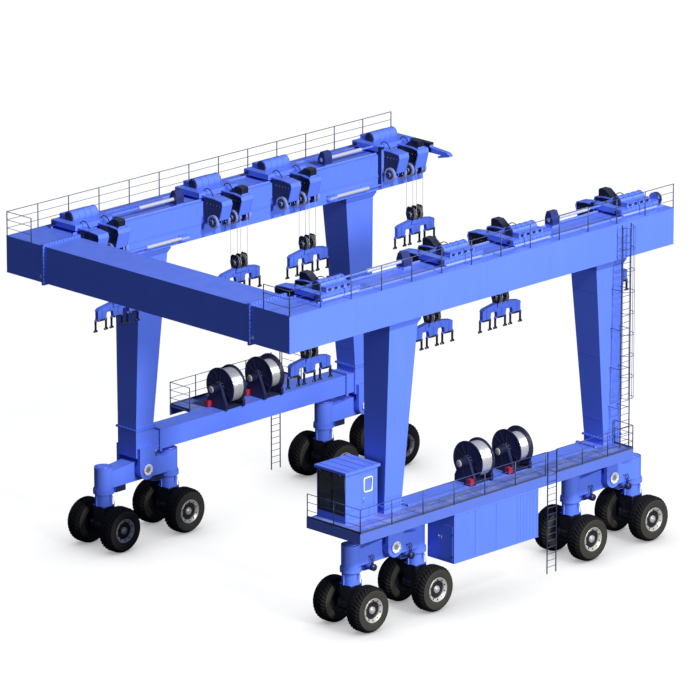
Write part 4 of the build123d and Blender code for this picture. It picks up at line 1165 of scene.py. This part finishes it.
# %% Leg and saddle fittings
SILL_FLANGE = (3.9, 4.88)       # bottom and top of the bolted sill joints
LEG_FOOT, LEG_RISE = 5.1, 7.9
LEG_LEAN = 0.43
LEG_HALF_X, LEG_HALF_Y = (0.585, 0.78), (0.525, 0.85)      # half widths, foot and top
LEG_SEAMS = (6.0, 9.0, 12.0)
LEG_Y = {"back": joint_place("rock_back_right").y, "front": joint_place("rock_front_right").y}
PIN_Z = joint_place("rock_back_right").z
saddle_outer = high("saddles").x
lower = Builder("leg_and_sill_fittings", "frame", "blue_paint")
leg_foot_z = low("legs").z
for turn in SIDES.values():
    for end, y in LEG_Y.items():
        inward = 1 if end == "back" else -1
        for k in range(7):
            for place in (-1, 1):
                along = (k / 6 - 0.5) * 1.24
                lower.bolt((turn * track + along, y + place * 0.56, leg_foot_z + 0.07),
                           (0, 0, 1), BOLT, "bolt_blue")
                lower.bolt((turn * track + place * 0.62, y + along * 0.85, leg_foot_z + 0.07),
                           (0, 0, 1), BOLT, "bolt_blue")
        for face in (-1, 1):
            x = turn * track + face * (saddle_outer - track)
            cap = [(-0.002, 0.265), (0.012, 0.262), (0.02, 0.25), (0.02, 0.16),
                   (0.004, 0.15), (0.004, 0.0001)]
            lower.turned([(0.0, 0.0001)] + cap, (x, y, PIN_Z), (face, 0, 0), "cap_silver", 40)
            lower.bar((x + face * 0.004, y, PIN_Z), (x + face * 0.008, y, PIN_Z), 0.13,
                      "bolt_zinc", 32)
            lower.bolt_circle((x + face * 0.02, y, PIN_Z), 0.205, (face, 0, 0), 8, 0.016)
        joint = y + inward * 1.0
        for place, axis in ((joint - 0.06, -1), (joint + 0.06, 1)):
            bolt_frame(lower, place, (turn * track - 0.54, SILL_FLANGE[0]),
                       (turn * track + 0.54, SILL_FLANGE[1]), (0, axis, 0), 0.16)
        for z in LEG_SEAMS:     # a leg leans inwards and grows wider as it rises
            share = (z - LEG_FOOT) / LEG_RISE
            lean = inward * LEG_LEAN * share
            half = LEG_HALF_Y[0] + (LEG_HALF_Y[1] - LEG_HALF_Y[0]) * share
            wide = LEG_HALF_X[0] + (LEG_HALF_X[1] - LEG_HALF_X[0]) * share
            for face in (-1, 1):
                lower.span((turn * track - wide + 0.03, y + lean + face * half, z - 0.007),
                           (turn * track + wide - 0.03, y + lean + face * (half + 0.004),
                            z + 0.007), "hull_blue")
lower.finish()

# %% [markdown]
# ## Bogies
# The rocker ends in two vertical columns, and a steered yoke turns under each. Bolted ring
# flanges mark the slew bearings. The steering gearbox beside each column is dark, and
# hydraulic hoses loop from the rocker down to it.

# %% Rocker and yoke fittings
SLEW_Z = high("yoke_back_right_a").z
GEARBOX_LOW, GEARBOX_HIGH = 2.43, 2.74      # the side plates of a steering gearbox
STEER_MOTOR_Z = 2.585
FORK_LOW, FORK_HIGH = 1.95, 2.48            # stiffening ribs on a yoke
for side, turn in SIDES.items():
    for end in ENDS:
        body = f"rocker_{end}_{side}"
        centre = middle(body)
        top, bottom = high(body).z, low(body).z
        rocker = Builder(f"rocker_fittings_{end}_{side}", body, "blue_paint")
        for place, way in (("a", -1), ("b", 1)):
            column = joint_place(f"steer_{end}_{side}_{place}")
            x, y = column.x, column.y
            rocker.turned([(0, 0.001), (0, 0.30), (0.012, 0.31), (0.03, 0.3), (0.03, 0.001)],
                          (x, y, top), (0, 0, 1), "hull_blue", 40, smooth=False)
            rocker.bolt_circle((x, y, top), 0.36, (0, 0, 1), 16, 0.02, "bolt_blue")
            rocker.turned([(0, 0.415), (0, 0.458), (0.05, 0.458), (0.05, 0.415)],
                          (x, y, SLEW_Z + 0.004), (0, 0, 1), "hull_blue", 48, smooth=False)
            rocker.bolt_circle((x, y, SLEW_Z + 0.054), 0.436, (0, 0, 1), 24, 0.014,
                               "bolt_blue")
            gear_y = y - way * 0.82
            for face in (-1, 1):
                gear_x = x + face * 0.23
                rocker.span((gear_x, gear_y - 0.3, GEARBOX_LOW),
                            (gear_x + face * 0.012, gear_y + 0.3, GEARBOX_HIGH), "navy")
            motor_x = x + turn * 0.49
            rocker.turned([(0, 0.001), (0, 0.14), (0.02, 0.156), (0.16, 0.156), (0.2, 0.12),
                           (0.2, 0.001)], (motor_x - turn * 0.03, gear_y, STEER_MOTOR_Z),
                          (turn, 0, 0), "navy", 32)
            for k in range(3):
                hose(rocker, (x + turn * 0.384, gear_y + 0.12 * k - 0.12, 3.1),
                     (motor_x, gear_y + 0.06 * k - 0.06, 2.73), (turn * 0.07, 0, 0.05))
        for place in (-1, 1):
            for level in (bottom + 0.06, top - 0.27):
                y = centre.y + place * 1.1
                rocker.span((centre.x + turn * 0.38, y - 0.42, level),
                            (centre.x + turn * 0.386, y + 0.42, level + 0.012), "hull_blue")
        rocker.finish()
        for place in "ab":
            node = f"yoke_{end}_{side}_{place}"
            pivot = joint_place(f"steer_{end}_{side}_{place}")
            axle_z = joint_place(f"roll_{end}_{side}_{place}").z
            yoke = Builder(f"yoke_fittings_{end}_{side}_{place}", BODY_OF[node], "blue_paint")
            yoke.bolt_circle((pivot.x, pivot.y, SLEW_Z - 0.17), 0.43, (0, 0, -1), 20, 0.018,
                             "bolt_blue")
            for face in (-1, 1):
                yoke.span((pivot.x - 0.012, pivot.y + face * 0.38, FORK_LOW),
                          (pivot.x + 0.012, pivot.y + face * 0.45, FORK_HIGH), "yoke_paint")
                yoke.plate([(pivot.x + face * 0.39, pivot.y, FORK_HIGH),
                            (pivot.x + face * 0.47, pivot.y, FORK_HIGH),
                            (pivot.x + face * 0.33, pivot.y, 1.7)],
                           (0, 0.02, 0), "yoke_paint")
                hub = [(0.0, 0.332), (0.1, 0.338), (0.14, 0.31)]
                yoke.turned([(0, 0.2)] + hub + [(0.14, 0.2)],
                            (pivot.x + face * 0.36, pivot.y, axle_z), (face, 0, 0),
                            "yoke_paint", 32)
                yoke.tube([(pivot.x + face * 0.2, pivot.y + 0.36, 2.3),
                           (pivot.x + face * 0.24, pivot.y + 0.42, 2.0),
                           (pivot.x + face * 0.3, pivot.y + 0.36, 1.6),
                           (pivot.x + face * 0.34, pivot.y + 0.3, 1.25)], 0.012,
                          "tyre_black", 8)
            yoke.finish()

# %% [markdown]
# ## Trolley fittings
# The sheaves are what catches the light on a trolley: a bright machined rim round a dark
# web. Each rim is a turned ring with a rope groove. The carriage gets its winch bands,
# hoses, buffers and a pale plate, and every head gets a bolted edge strip.

# %% Sheave rims and trolley fittings
SHEAVE, SHEAVE_HALF = 0.30, 0.055
NOSE_X = 5.4            # where the sheave heads end, towards the middle
HEAD_TOP = 15.25        # top of a head's edge strip
MOTOR_X, MOTOR_Y = track + 0.33, middle("ropes_right_4").y + 0.7


def sheave_rim(builder, centre):
    """A grooved rim with a dark web, a hub and six bolts on each face."""
    radius, half = SHEAVE, SHEAVE_HALF
    outer = radius + 0.008
    profile = [(-half - 0.003, radius - 0.075), (-half - 0.003, outer), (-half + 0.012, outer),
               (-0.012, outer - 0.03), (0.012, outer - 0.03), (half - 0.012, outer),
               (half + 0.003, outer), (half + 0.003, radius - 0.075)]
    builder.turned(profile, centre, (0, 1, 0), "rim_steel", 40, smooth=False)
    for face in (-1, 1):
        y = centre[1] + face * (half + 0.003)
        builder.bar((centre[0], y, centre[2]), (centre[0], y + face * 0.004, centre[2]),
                    radius - 0.074, "black_iron", 32)
        builder.bar((centre[0], y, centre[2]), (centre[0], y + face * 0.012, centre[2]),
                    0.1, "rim_steel", 24)
        builder.bolt_circle((centre[0], y + face * 0.004, centre[2]), 0.15, (0, face, 0), 6,
                            0.012)


def build_trolley(side, turn, number):
    """Sheaves, wheels, buffers, winch, hoses and edge strips of one trolley."""
    node = f"trolley_{side}_{number}"
    rope = middle(f"ropes_{side}_{number}")
    y, x = rope.y, rope.x
    back, front = y - 1.65, y + 0.7
    builder = Builder(f"trolley_fittings_{side}_{number}", BODY_OF[node], "blue_paint")
    for place in (-0.39, 0.39, -1.575, -0.875):
        sheave_rim(builder, (x, y + place, upper_z))
    inner_x, outer_x = turn * (track - 0.945), turn * (track + 0.61)
    carriage_low, carriage_top = girder_top + 0.13, girder_top + 0.37
    for along in (back + 0.26, front - 0.26):
        for rail_x in (track - 0.885, track + 0.52):
            builder.turned([(0, 0.001), (0, 0.06), (0.02, 0.055), (0.02, 0.001)],
                           (turn * rail_x, along, girder_top + 0.18), (turn, 0, 0),
                           "black_iron", 20)
    for end, way in ((back, -1), (front, 1)):
        places = (inner_x + turn * 0.25, outer_x - turn * 0.25)
        for place in places[1:] if way < 0 else places:     # the cylinder eye is behind
            builder.turned([(0, 0.07), (0.01, 0.075), (0.06, 0.05), (0.07, 0.05),
                            (0.1, 0.062), (0.12, 0.05), (0.125, 0.001)],
                           (place, end, carriage_low + 0.12), (0, way, 0), "tyre_black", 20)
    winch_x, winch_z = turn * (track - 0.08), carriage_top + 0.13
    winch_y = (back + front) / 2
    for place in (-0.72, -0.36, 0.0, 0.36, 0.72):
        builder.turned([(-0.02, 0.268), (-0.02, 0.286), (0.02, 0.286), (0.02, 0.268)],
                       (winch_x, winch_y + place, winch_z), (0, 1, 0), "hull_blue", 40, False)
    for way in (-1, 1):
        end = winch_y + way * 0.75
        builder.turned([(0, 0.255), (0.015, 0.25), (0.035, 0.2), (0.04, 0.001)],
                       (winch_x, end, winch_z), (0, way, 0), "navy", 40)
        builder.bolt_circle((winch_x, end + way * 0.016, winch_z), 0.225, (0, way, 0), 10,
                            0.012)
    valve_x = turn * (track + 0.06)
    valve_back, valve_front = back + 0.425, front - 0.425
    builder.span((valve_x + turn * 0.03, valve_back + 0.04, carriage_top + 0.205),
                 (valve_x + turn * 0.43, valve_front - 0.04, carriage_top + 0.222),
                 "hull_blue", 0.004)
    for k in range(4):
        place = valve_back + 0.2 + (valve_front - valve_back - 0.4) * k / 3
        builder.span((valve_x + turn * 0.458, place - 0.09, carriage_top + 0.04),
                     (valve_x + turn * 0.47, place + 0.09, carriage_top + 0.17), "navy", 0.004)
        hose(builder, (valve_x + turn * 0.1, place, carriage_top + 0.2),
             (winch_x + turn * 0.1, place + 0.06, winch_z + 0.24), (0, 0, 0.06), 0.012)
    for k in range(9):
        place = back + 0.12 + (front - back - 0.24) * k / 8
        builder.bolt((outer_x - turn * 0.04, place, carriage_top), (0, 0, 1), 0.02, "bolt_blue")
        builder.bolt((outer_x, place, carriage_low + 0.12), (turn, 0, 0), 0.018, "bolt_blue")
    builder.span((outer_x, back + 0.1, carriage_low - 0.055),
                 (outer_x + turn * 0.012, front - 0.1, carriage_low + 0.03), "plate_pale")
    if node == "trolley_right_4":       # the long-travel motor stands at the end
        builder.turned([(0, 0.2), (0.0, 0.288), (0.2, 0.288), (0.22, 0.27), (0.25, 0.2),
                        (0.25, 0.001)], (MOTOR_X, MOTOR_Y, carriage_top), (0, 1, 0), "navy", 36)
    nose_x = turn * NOSE_X
    for start, end in ((y - 0.32, y + 0.32), (y - 1.5, y - 0.95)):
        for edge_y, way in ((start, -1), (end, 1)):
            outline = [(nose_x, 15.01), (nose_x + turn * 0.06, 15.19),
                       (nose_x + turn * 0.55, HEAD_TOP), (nose_x + turn * 1.2, HEAD_TOP),
                       (nose_x + turn * 1.2, 15.21), (nose_x + turn * 0.55, 15.21),
                       (nose_x + turn * 0.09, 15.155), (nose_x + turn * 0.045, 15.0),
                       (nose_x + turn * 0.245, 14.3), (nose_x + turn * 0.2, 14.3)]
            builder.plate([(px, edge_y, pz) for px, pz in outline], (0, way * 0.03, 0),
                          "hull_blue")
            for k in range(5):
                builder.bolt((nose_x + turn * (0.2 + 0.2 * k), edge_y, 14.95), (0, way, 0),
                             0.016, "bolt_zinc")
        hose(builder, (nose_x + turn * 0.9, (start + end) / 2, HEAD_TOP),
             (inner_x + turn * 0.2, (start + end) / 2 + 0.05, carriage_top),
             (0, 0, 0.2), 0.02)
    builder.finish()


for side, turn in SIDES.items():
    for number in range(1, 5):
        build_trolley(side, turn, number)

# %% [markdown]
# ## Spreader fittings
# Each spreader is a plate beam. Welded flanges along its edges make it stiff, dark sleeves
# hang from its feet on pins, and a two-sheave block sits in the middle.

# %% Spreader fittings
FOOT_SPACING, LINK_OFFSET = 0.95, 0.31


def build_spreader(side, number):
    """Flange strips, ribs, feet, links and rope block of one spreader."""
    node = f"spreader_{side}_{number}"
    rope = middle(f"ropes_{side}_{number}")
    x, y = rope.x, rope.y
    foot = low(node).z + 0.47
    builder = Builder(f"spreader_fittings_{side}_{number}", BODY_OF[node], "blue_paint")
    top = foot + 0.56
    edge_points = [(-1.19, foot + 0.06), (-1.19, top - 0.09), (-1.08, top), (-0.3, top + 0.13),
                   (0.3, top + 0.13), (1.08, top), (1.19, top - 0.09), (1.19, foot + 0.06)]
    for (y0, z0), (y1, z1) in list(zip(edge_points, edge_points[1:]))[1:-1]:
        a, b = Vector((x, y + y0, z0)), Vector((x, y + y1, z1))
        lean = math.atan2(z1 - z0, y1 - y0)
        builder.box((a + b) / 2, (0.24, (b - a).length + 0.012, 0.02), "hull_blue",
                    turn=Matrix.Rotation(lean, 4, "X"))
    for face in (-1, 1):
        for place in (-0.95, -0.475, 0.0, 0.475, 0.95):
            low_z = foot + (0.35 if abs(abs(place) - 0.475) < 0.01 else 0.07)
            builder.span((x + face * 0.09, y + place - 0.008, low_z),
                         (x + face * 0.115, y + place + 0.008, top - 0.01), "hull_blue")
        for place in (-1, 0, 1):
            builder.span((x + face * 0.09, y + place * FOOT_SPACING - 0.24, foot),
                         (x + face * 0.12, y + place * FOOT_SPACING + 0.24, foot + 0.075),
                         "black_iron", 0.006)
            for way in (-1, 1):
                along = y + place * FOOT_SPACING + way * LINK_OFFSET * 0.6
                builder.bolt((x + face * 0.12, along, foot + 0.037), (face, 0, 0), 0.018)
    for place in (-1, 0, 1):
        for way in (-1, 1):
            along = y + place * FOOT_SPACING + way * LINK_OFFSET
            builder.turned([(-0.4, 0.045), (-0.36, 0.052), (-0.3, 0.045), (-0.06, 0.045),
                            (-0.03, 0.062), (0.0, 0.062), (0.0, 0.001)],
                           (x, along, foot), (0, 0, 1), "black_iron", 16)
            builder.bar((x, along - 0.086, foot - 0.435), (x, along + 0.086, foot - 0.435),
                        0.048, "black_iron", 16)
            for end in (-1, 1):
                builder.turned([(0, 0.048), (0.006, 0.05), (0.012, 0.03), (0.012, 0.001)],
                               (x, along + end * 0.086, foot - 0.435), (0, end, 0),
                               "bolt_zinc", 16)
    for place in (-0.2, 0.2):
        sheave_rim(builder, (x, y + place, lower_z))
    for way in (-1, 1):
        face = y + way * 0.315
        builder.turned([(0, 0.12), (0.014, 0.118), (0.014, 0.075), (0.03, 0.072),
                        (0.03, 0.001)], (x, face, lower_z), (0, way, 0), "bolt_zinc", 28)
        builder.bolt_circle((x, face, lower_z), 0.17, (0, way, 0), 8, 0.013, shift=0.5)
    builder.finish()


for side in SIDES:
    for number in range(1, 5):
        build_spreader(side, number)

# %% [markdown]
# ## Cab
# The cab is a welded box with deep windows. Real panes sit in black rubber gaskets, the door
# has a pale rounded window frame, and the roof edge has a rain lip. The driver's seat is a
# padded cushion, so it gets a crowned, rounded form of its own.

# %% Cab fittings
cab_low, cab_high = low("cab"), high("cab")
glass_low, glass_high = low("cab_glass"), high("cab_glass")
wall_x0, wall_x1 = cab_low.x + 0.09, cab_high.x - 0.09
wall_y0, wall_y1 = cab_low.y + 0.09, cab_high.y - 0.09
roof_low = cab_high.z - 0.11
cab = Builder("cab_fittings", "frame", "blue_paint")


def window_gasket(builder, fixed, first, second, along, mullions=0):
    """Black gasket round a pane that runs along X or Y, with upright mullions."""
    (a0, z0), (a1, z1) = first, second

    def spot(a, z):
        return (a, fixed, z) if along == "x" else (fixed, a, z)

    corners = [spot(a0, z0), spot(a1, z0), spot(a1, z1), spot(a0, z1)]
    for one, other in zip(corners, corners[1:] + corners[:1]):
        builder.bar(one, other, 0.022, "black_iron", 8)
    for k in range(mullions):
        a = a0 + (a1 - a0) * (k + 1) / (mullions + 1)
        builder.bar(spot(a, z0), spot(a, z1), 0.02, "black_iron", 8)


pane_top = glass_high.z
front_sill, side_sill = glass_low.z, deck_top + 0.9
window_gasket(cab, wall_y0 + 0.004, (wall_x0 + 0.06, front_sill),
              (wall_x1 - 0.06, pane_top), "x", 1)
window_gasket(cab, wall_y1 - 0.004, (wall_x0 + 0.06, side_sill),
              (wall_x1 - 0.06, pane_top), "x")
window_gasket(cab, wall_x0 + 0.004, (wall_y0 + 0.06, side_sill),
              (wall_y1 - 0.06, pane_top), "y", 1)
centre_x = (wall_x0 + wall_x1) / 2
wiper = Vector((centre_x + 0.35, wall_y0 - 0.02, front_sill + 0.05))
cab.bar(wiper, wiper + Vector((-0.25, 0, 0.75)), 0.012, "black_iron", 8)
cab.bar(wiper + Vector((-0.25, 0, 0.3)), wiper + Vector((-0.25, 0, 1.0)), 0.01,
        "tyre_black", 6)
for x in (cab_low.x, cab_high.x):
    cab.span((x - 0.006, cab_low.y, roof_low - 0.012), (x + 0.006, cab_high.y, roof_low + 0.03),
             "hull_blue")
for k in range(4):
    y = cab_low.y + 0.3 + (cab_high.y - cab_low.y - 0.6) * k / 3
    cab.span((cab_low.x + 0.05, y - 0.025, cab_high.z),
             (cab_high.x - 0.05, y + 0.025, cab_high.z + 0.02), "hull_blue")
for turn in (-1, 1):
    lamp_x = centre_x + turn * 0.6
    cab.turned([(0, 0.001), (0, 0.06), (0.08, 0.085), (0.1, 0.085), (0.1, 0.001)],
               (lamp_x, cab_low.y + 0.04, roof_low - 0.07), (0, -1, -0.3), "black_iron", 24)
console_z = cab_low.z + 0.8
cab.span((centre_x - 0.46, wall_y0 + 0.055, console_z - 0.02),
         (centre_x + 0.46, wall_y0 + 0.41, console_z + 0.03), "window_white", 0.01)
for k in range(6):
    cab.bar((centre_x - 0.35 + 0.14 * k, wall_y0 + 0.26, console_z + 0.03),
            (centre_x - 0.35 + 0.14 * k, wall_y0 + 0.24, console_z + 0.11), 0.014,
            "signal_red" if k == 3 else "cream", 10)
cab.finish()

door_low, door_high = low("cab_door"), high("cab_door")
door = Builder("door_fittings", "cab_door", "blue_paint")
door_y = (door_low.y + door_high.y - 0.01) / 2
window_z = door_high.z - 0.25 - 0.28


def rounded_ring(centre_y, centre_z, half_y, half_z, radius, x, steps=6):
    """Points of a rectangle with round corners, across X."""
    points = []
    for corner, (sy, sz) in enumerate(((1, 1), (-1, 1), (-1, -1), (1, -1))):
        for step in range(steps + 1):
            angle = math.pi / 2 * (corner + step / steps)
            points.append((x, centre_y + sy * (half_y - radius) + radius * math.cos(angle),
                           centre_z + sz * (half_z - radius) + radius * math.sin(angle)))
    return points


door.tube(rounded_ring(door_y, window_z, 0.245, 0.31, 0.09, wall_x1 + 0.006), 0.036,
          "window_white", 10, closed=True)
door.tube(rounded_ring(door_y, window_z, 0.225, 0.29, 0.06, wall_x1 - 0.056), 0.014,
          "black_iron", 8, closed=True)
handle_y = door_low.y + 0.09
handle_x, handle_low, handle_high = wall_x1 + 0.035, window_z - 0.75, window_z - 0.5
door.bar((handle_x, handle_y, handle_low), (handle_x, handle_y, handle_high), 0.011,
         "bolt_zinc", 12)
for z in (handle_low, handle_high):
    door.bar((wall_x1 - 0.002, handle_y, z), (handle_x, handle_y, z), 0.009, "bolt_zinc", 10)
door.finish()

# %% [markdown]
# ## Driver's seat
# A cushion is crowned in the middle and pulls in at its edges. A grid is wrapped round the
# seat block and pushed out by a smooth dome, which is quicker than cloth and always gives
# the same result.

# %% Seat
SEAT_STEPS = 14


def cushion(name, centre, size, crown, up_axis):
    """A closed pillow: a rounded box whose two broad faces swell."""
    mesh = bmesh.new()
    bmesh.ops.create_cube(mesh, size=1.0)
    bmesh.ops.subdivide_edges(mesh, edges=mesh.edges[:], cuts=SEAT_STEPS, use_grid_fill=True)
    for vert in mesh.verts:
        spread = [vert.co[axis] * 2 for axis in range(3)]
        flat = [axis for axis in range(3) if axis != up_axis]
        dome = (1 - spread[flat[0]] ** 4) * (1 - spread[flat[1]] ** 4)
        pull = 1 - 0.06 * spread[up_axis] ** 2
        corner = 1 - 0.03 * abs(spread[flat[0]] * spread[flat[1]])
        for axis in flat:
            vert.co[axis] *= pull * size[axis] * corner
        vert.co[up_axis] = vert.co[up_axis] * size[up_axis] + spread[up_axis] * crown * dome
    for face in mesh.faces:
        face.smooth = True
    data = bpy.data.meshes.new(name)
    mesh.to_mesh(data)
    mesh.free()
    data.materials.append(MATERIALS["seat_black"])
    made = bpy.data.objects.new(name, data)
    made.location = centre
    bpy.context.collection.objects.link(made)
    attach(made, "frame")


seat_back_y = wall_y1 - 0.45
cushion("seat_cushion", (centre_x, seat_back_y - 0.27, cab_low.z + 0.4), (0.5, 0.5, 0.22),
        0.025, 2)
cushion("seat_backrest", (centre_x, seat_back_y, cab_low.z + 0.77), (0.5, 0.15, 0.62),
        0.02, 1)
print("seat cushions on the frame")

# %% [markdown]
# ## Machinery house
# The house is a sheet-metal box. Shallow ribs stiffen its front end, louvres let the engine
# breathe, and a pair of doors with handles opens on the short side.

# %% House fittings
house_low, house_high = low("machinery_house"), high("machinery_house")
house = Builder("house_fittings", "frame", "blue_paint")
face, end = house_high.x, house_low.y
bottom, top = house_low.z, house_high.z
RIB_COUNT, RIB_PITCH = 7, 0.2
LOUVRE_COUNT, LOUVRE_PITCH, LOUVRE_TILT = 12, 0.07, -0.6
for k in range(RIB_COUNT):
    y = house_high.y - 0.1 - RIB_PITCH * k
    house.span((face, y - 0.03, bottom + 0.12), (face + 0.014, y + 0.03, top - 0.1),
               "hull_blue", 0.006)
for y in (house_low.y + 1.3, house_low.y + 2.6):
    house.span((face, y - 0.006, bottom + 0.02), (face + 0.006, y + 0.006, top - 0.02),
               "shade_blue")
for z in (bottom + 0.04, top - 0.05):
    house.span((face, end, z - 0.03), (face + 0.02, house_high.y, z + 0.03), "hull_blue")
for k in range(LOUVRE_COUNT):
    z = bottom + 0.55 + LOUVRE_PITCH * k
    house.box((house_low.x - 0.012, house_low.y + 3.25, z), (0.03, 0.9, 0.012), "navy",
              turn=Matrix.Rotation(LOUVRE_TILT, 4, "Y"))
door_x = (house_low.x + house_high.x) / 2
for turn in (-1, 1):
    house.span((door_x + turn * 0.01, end - 0.012, bottom + 0.12),
               (door_x + turn * 0.7, end, top - 0.55), "hull_blue", 0.003)
    house.bar((door_x + turn * 0.07, end - 0.04, bottom + 0.95),
              (door_x + turn * 0.07, end - 0.04, bottom + 1.15), 0.01, "bolt_zinc", 10)
    for z in (bottom + 0.3, bottom + 1.3):
        house.bar((door_x + turn * 0.7, end - 0.014, z - 0.06),
                  (door_x + turn * 0.7, end - 0.014, z + 0.06), 0.014, "navy", 10)
house.finish()

# %% [markdown]
# ## Reel stands and deck
# Each reel turns in two bearing blocks. A finned motor drives it from the back, and a
# red switch box sits at its foot. The deck is bar grating over the brackets.

# %% Reel stand and deck fittings
REEL_Z = joint_place("wind_right_1").z
BEARING_REACH = 0.605       # from the middle of a reel to the outside of its stand
for side, turn in SIDES.items():
    for number in (1, 2):
        y = joint_place(f"wind_{side}_{number}").y
        stand = Builder(f"reel_stand_fittings_{side}_{number}", "frame", "navy_paint")
        x = turn * track
        for way in (-1, 1):
            face_y = y + way * BEARING_REACH
            stand.turned([(0, 0.2), (0.012, 0.2), (0.03, 0.17), (0.05, 0.14), (0.05, 0.095)],
                         (x, face_y, REEL_Z), (0, way, 0), "black_iron", 32)
            stand.bolt_circle((x, face_y + way * 0.012, REEL_Z), 0.16, (0, way, 0), 4, 0.018,
                              shift=0.5)
            for place in (-0.5, 0.5):
                stand.bolt((x + place, y + way * 0.53, deck_top + 0.05), (0, 0, 1), 0.022)
        motor_y = y - BEARING_REACH
        shell = [(0, 0.212)]
        for k in range(9):
            shell += [(0.02 + 0.033 * k, 0.212), (0.02 + 0.033 * k, 0.228),
                      (0.032 + 0.033 * k, 0.228), (0.032 + 0.033 * k, 0.212)]
        shell += [(0.332, 0.212), (0.336, 0.14)]
        stand.turned(shell, (x, motor_y, REEL_Z), (0, -1, 0), "navy", 36, smooth=False)
        stand.turned([(0.33, 0.16), (0.35, 0.155), (0.36, 0.12), (0.36, 0.001)],
                     (x, motor_y, REEL_Z), (0, -1, 0), "cream", 28)
        box_x = x + turn * 0.59
        stand.span((box_x - turn * 0.265, motor_y - 0.225, deck_top + 0.055),
                   (box_x + turn * 0.005, motor_y, deck_top + 0.305), "signal_red", 0.012)
        hose(stand, (x + turn * 0.1, motor_y - 0.2, REEL_Z - 0.2),
             (box_x - turn * 0.15, motor_y - 0.12, deck_top + 0.3), (0, -0.12, -0.05), 0.016)
        stand.finish()

deck = Builder("deck_grating", "frame", "blue_paint")
GRATE_PITCH = 0.14
LEG_LINES = (-5.24, LEG_LADDER_Y)       # the grating keeps clear of the legs here
DECK_ENDS = {1: (-8.42, 8.46), -1: (-1.34, 5.59)}
CAB_ENDS = (-8.0, -5.97)                # no grating below the cab
for turn, ends in DECK_ENDS.items():
    inner = track + (0.6 if turn > 0 else 0.52)
    count = int((ends[1] - ends[0]) / GRATE_PITCH)
    for k in range(count + 1):
        y = ends[0] + GRATE_PITCH * k
        if turn > 0 and CAB_ENDS[0] < y < CAB_ENDS[1]:
            continue
        near = inner + 0.1 if any(abs(y - line) <= 0.7 for line in LEG_LINES) else inner
        deck.span((turn * near, y - 0.006, deck_top),
                  (turn * (deck_outer - 0.06), y + 0.006, deck_top + 0.004), "grate")
deck.finish()
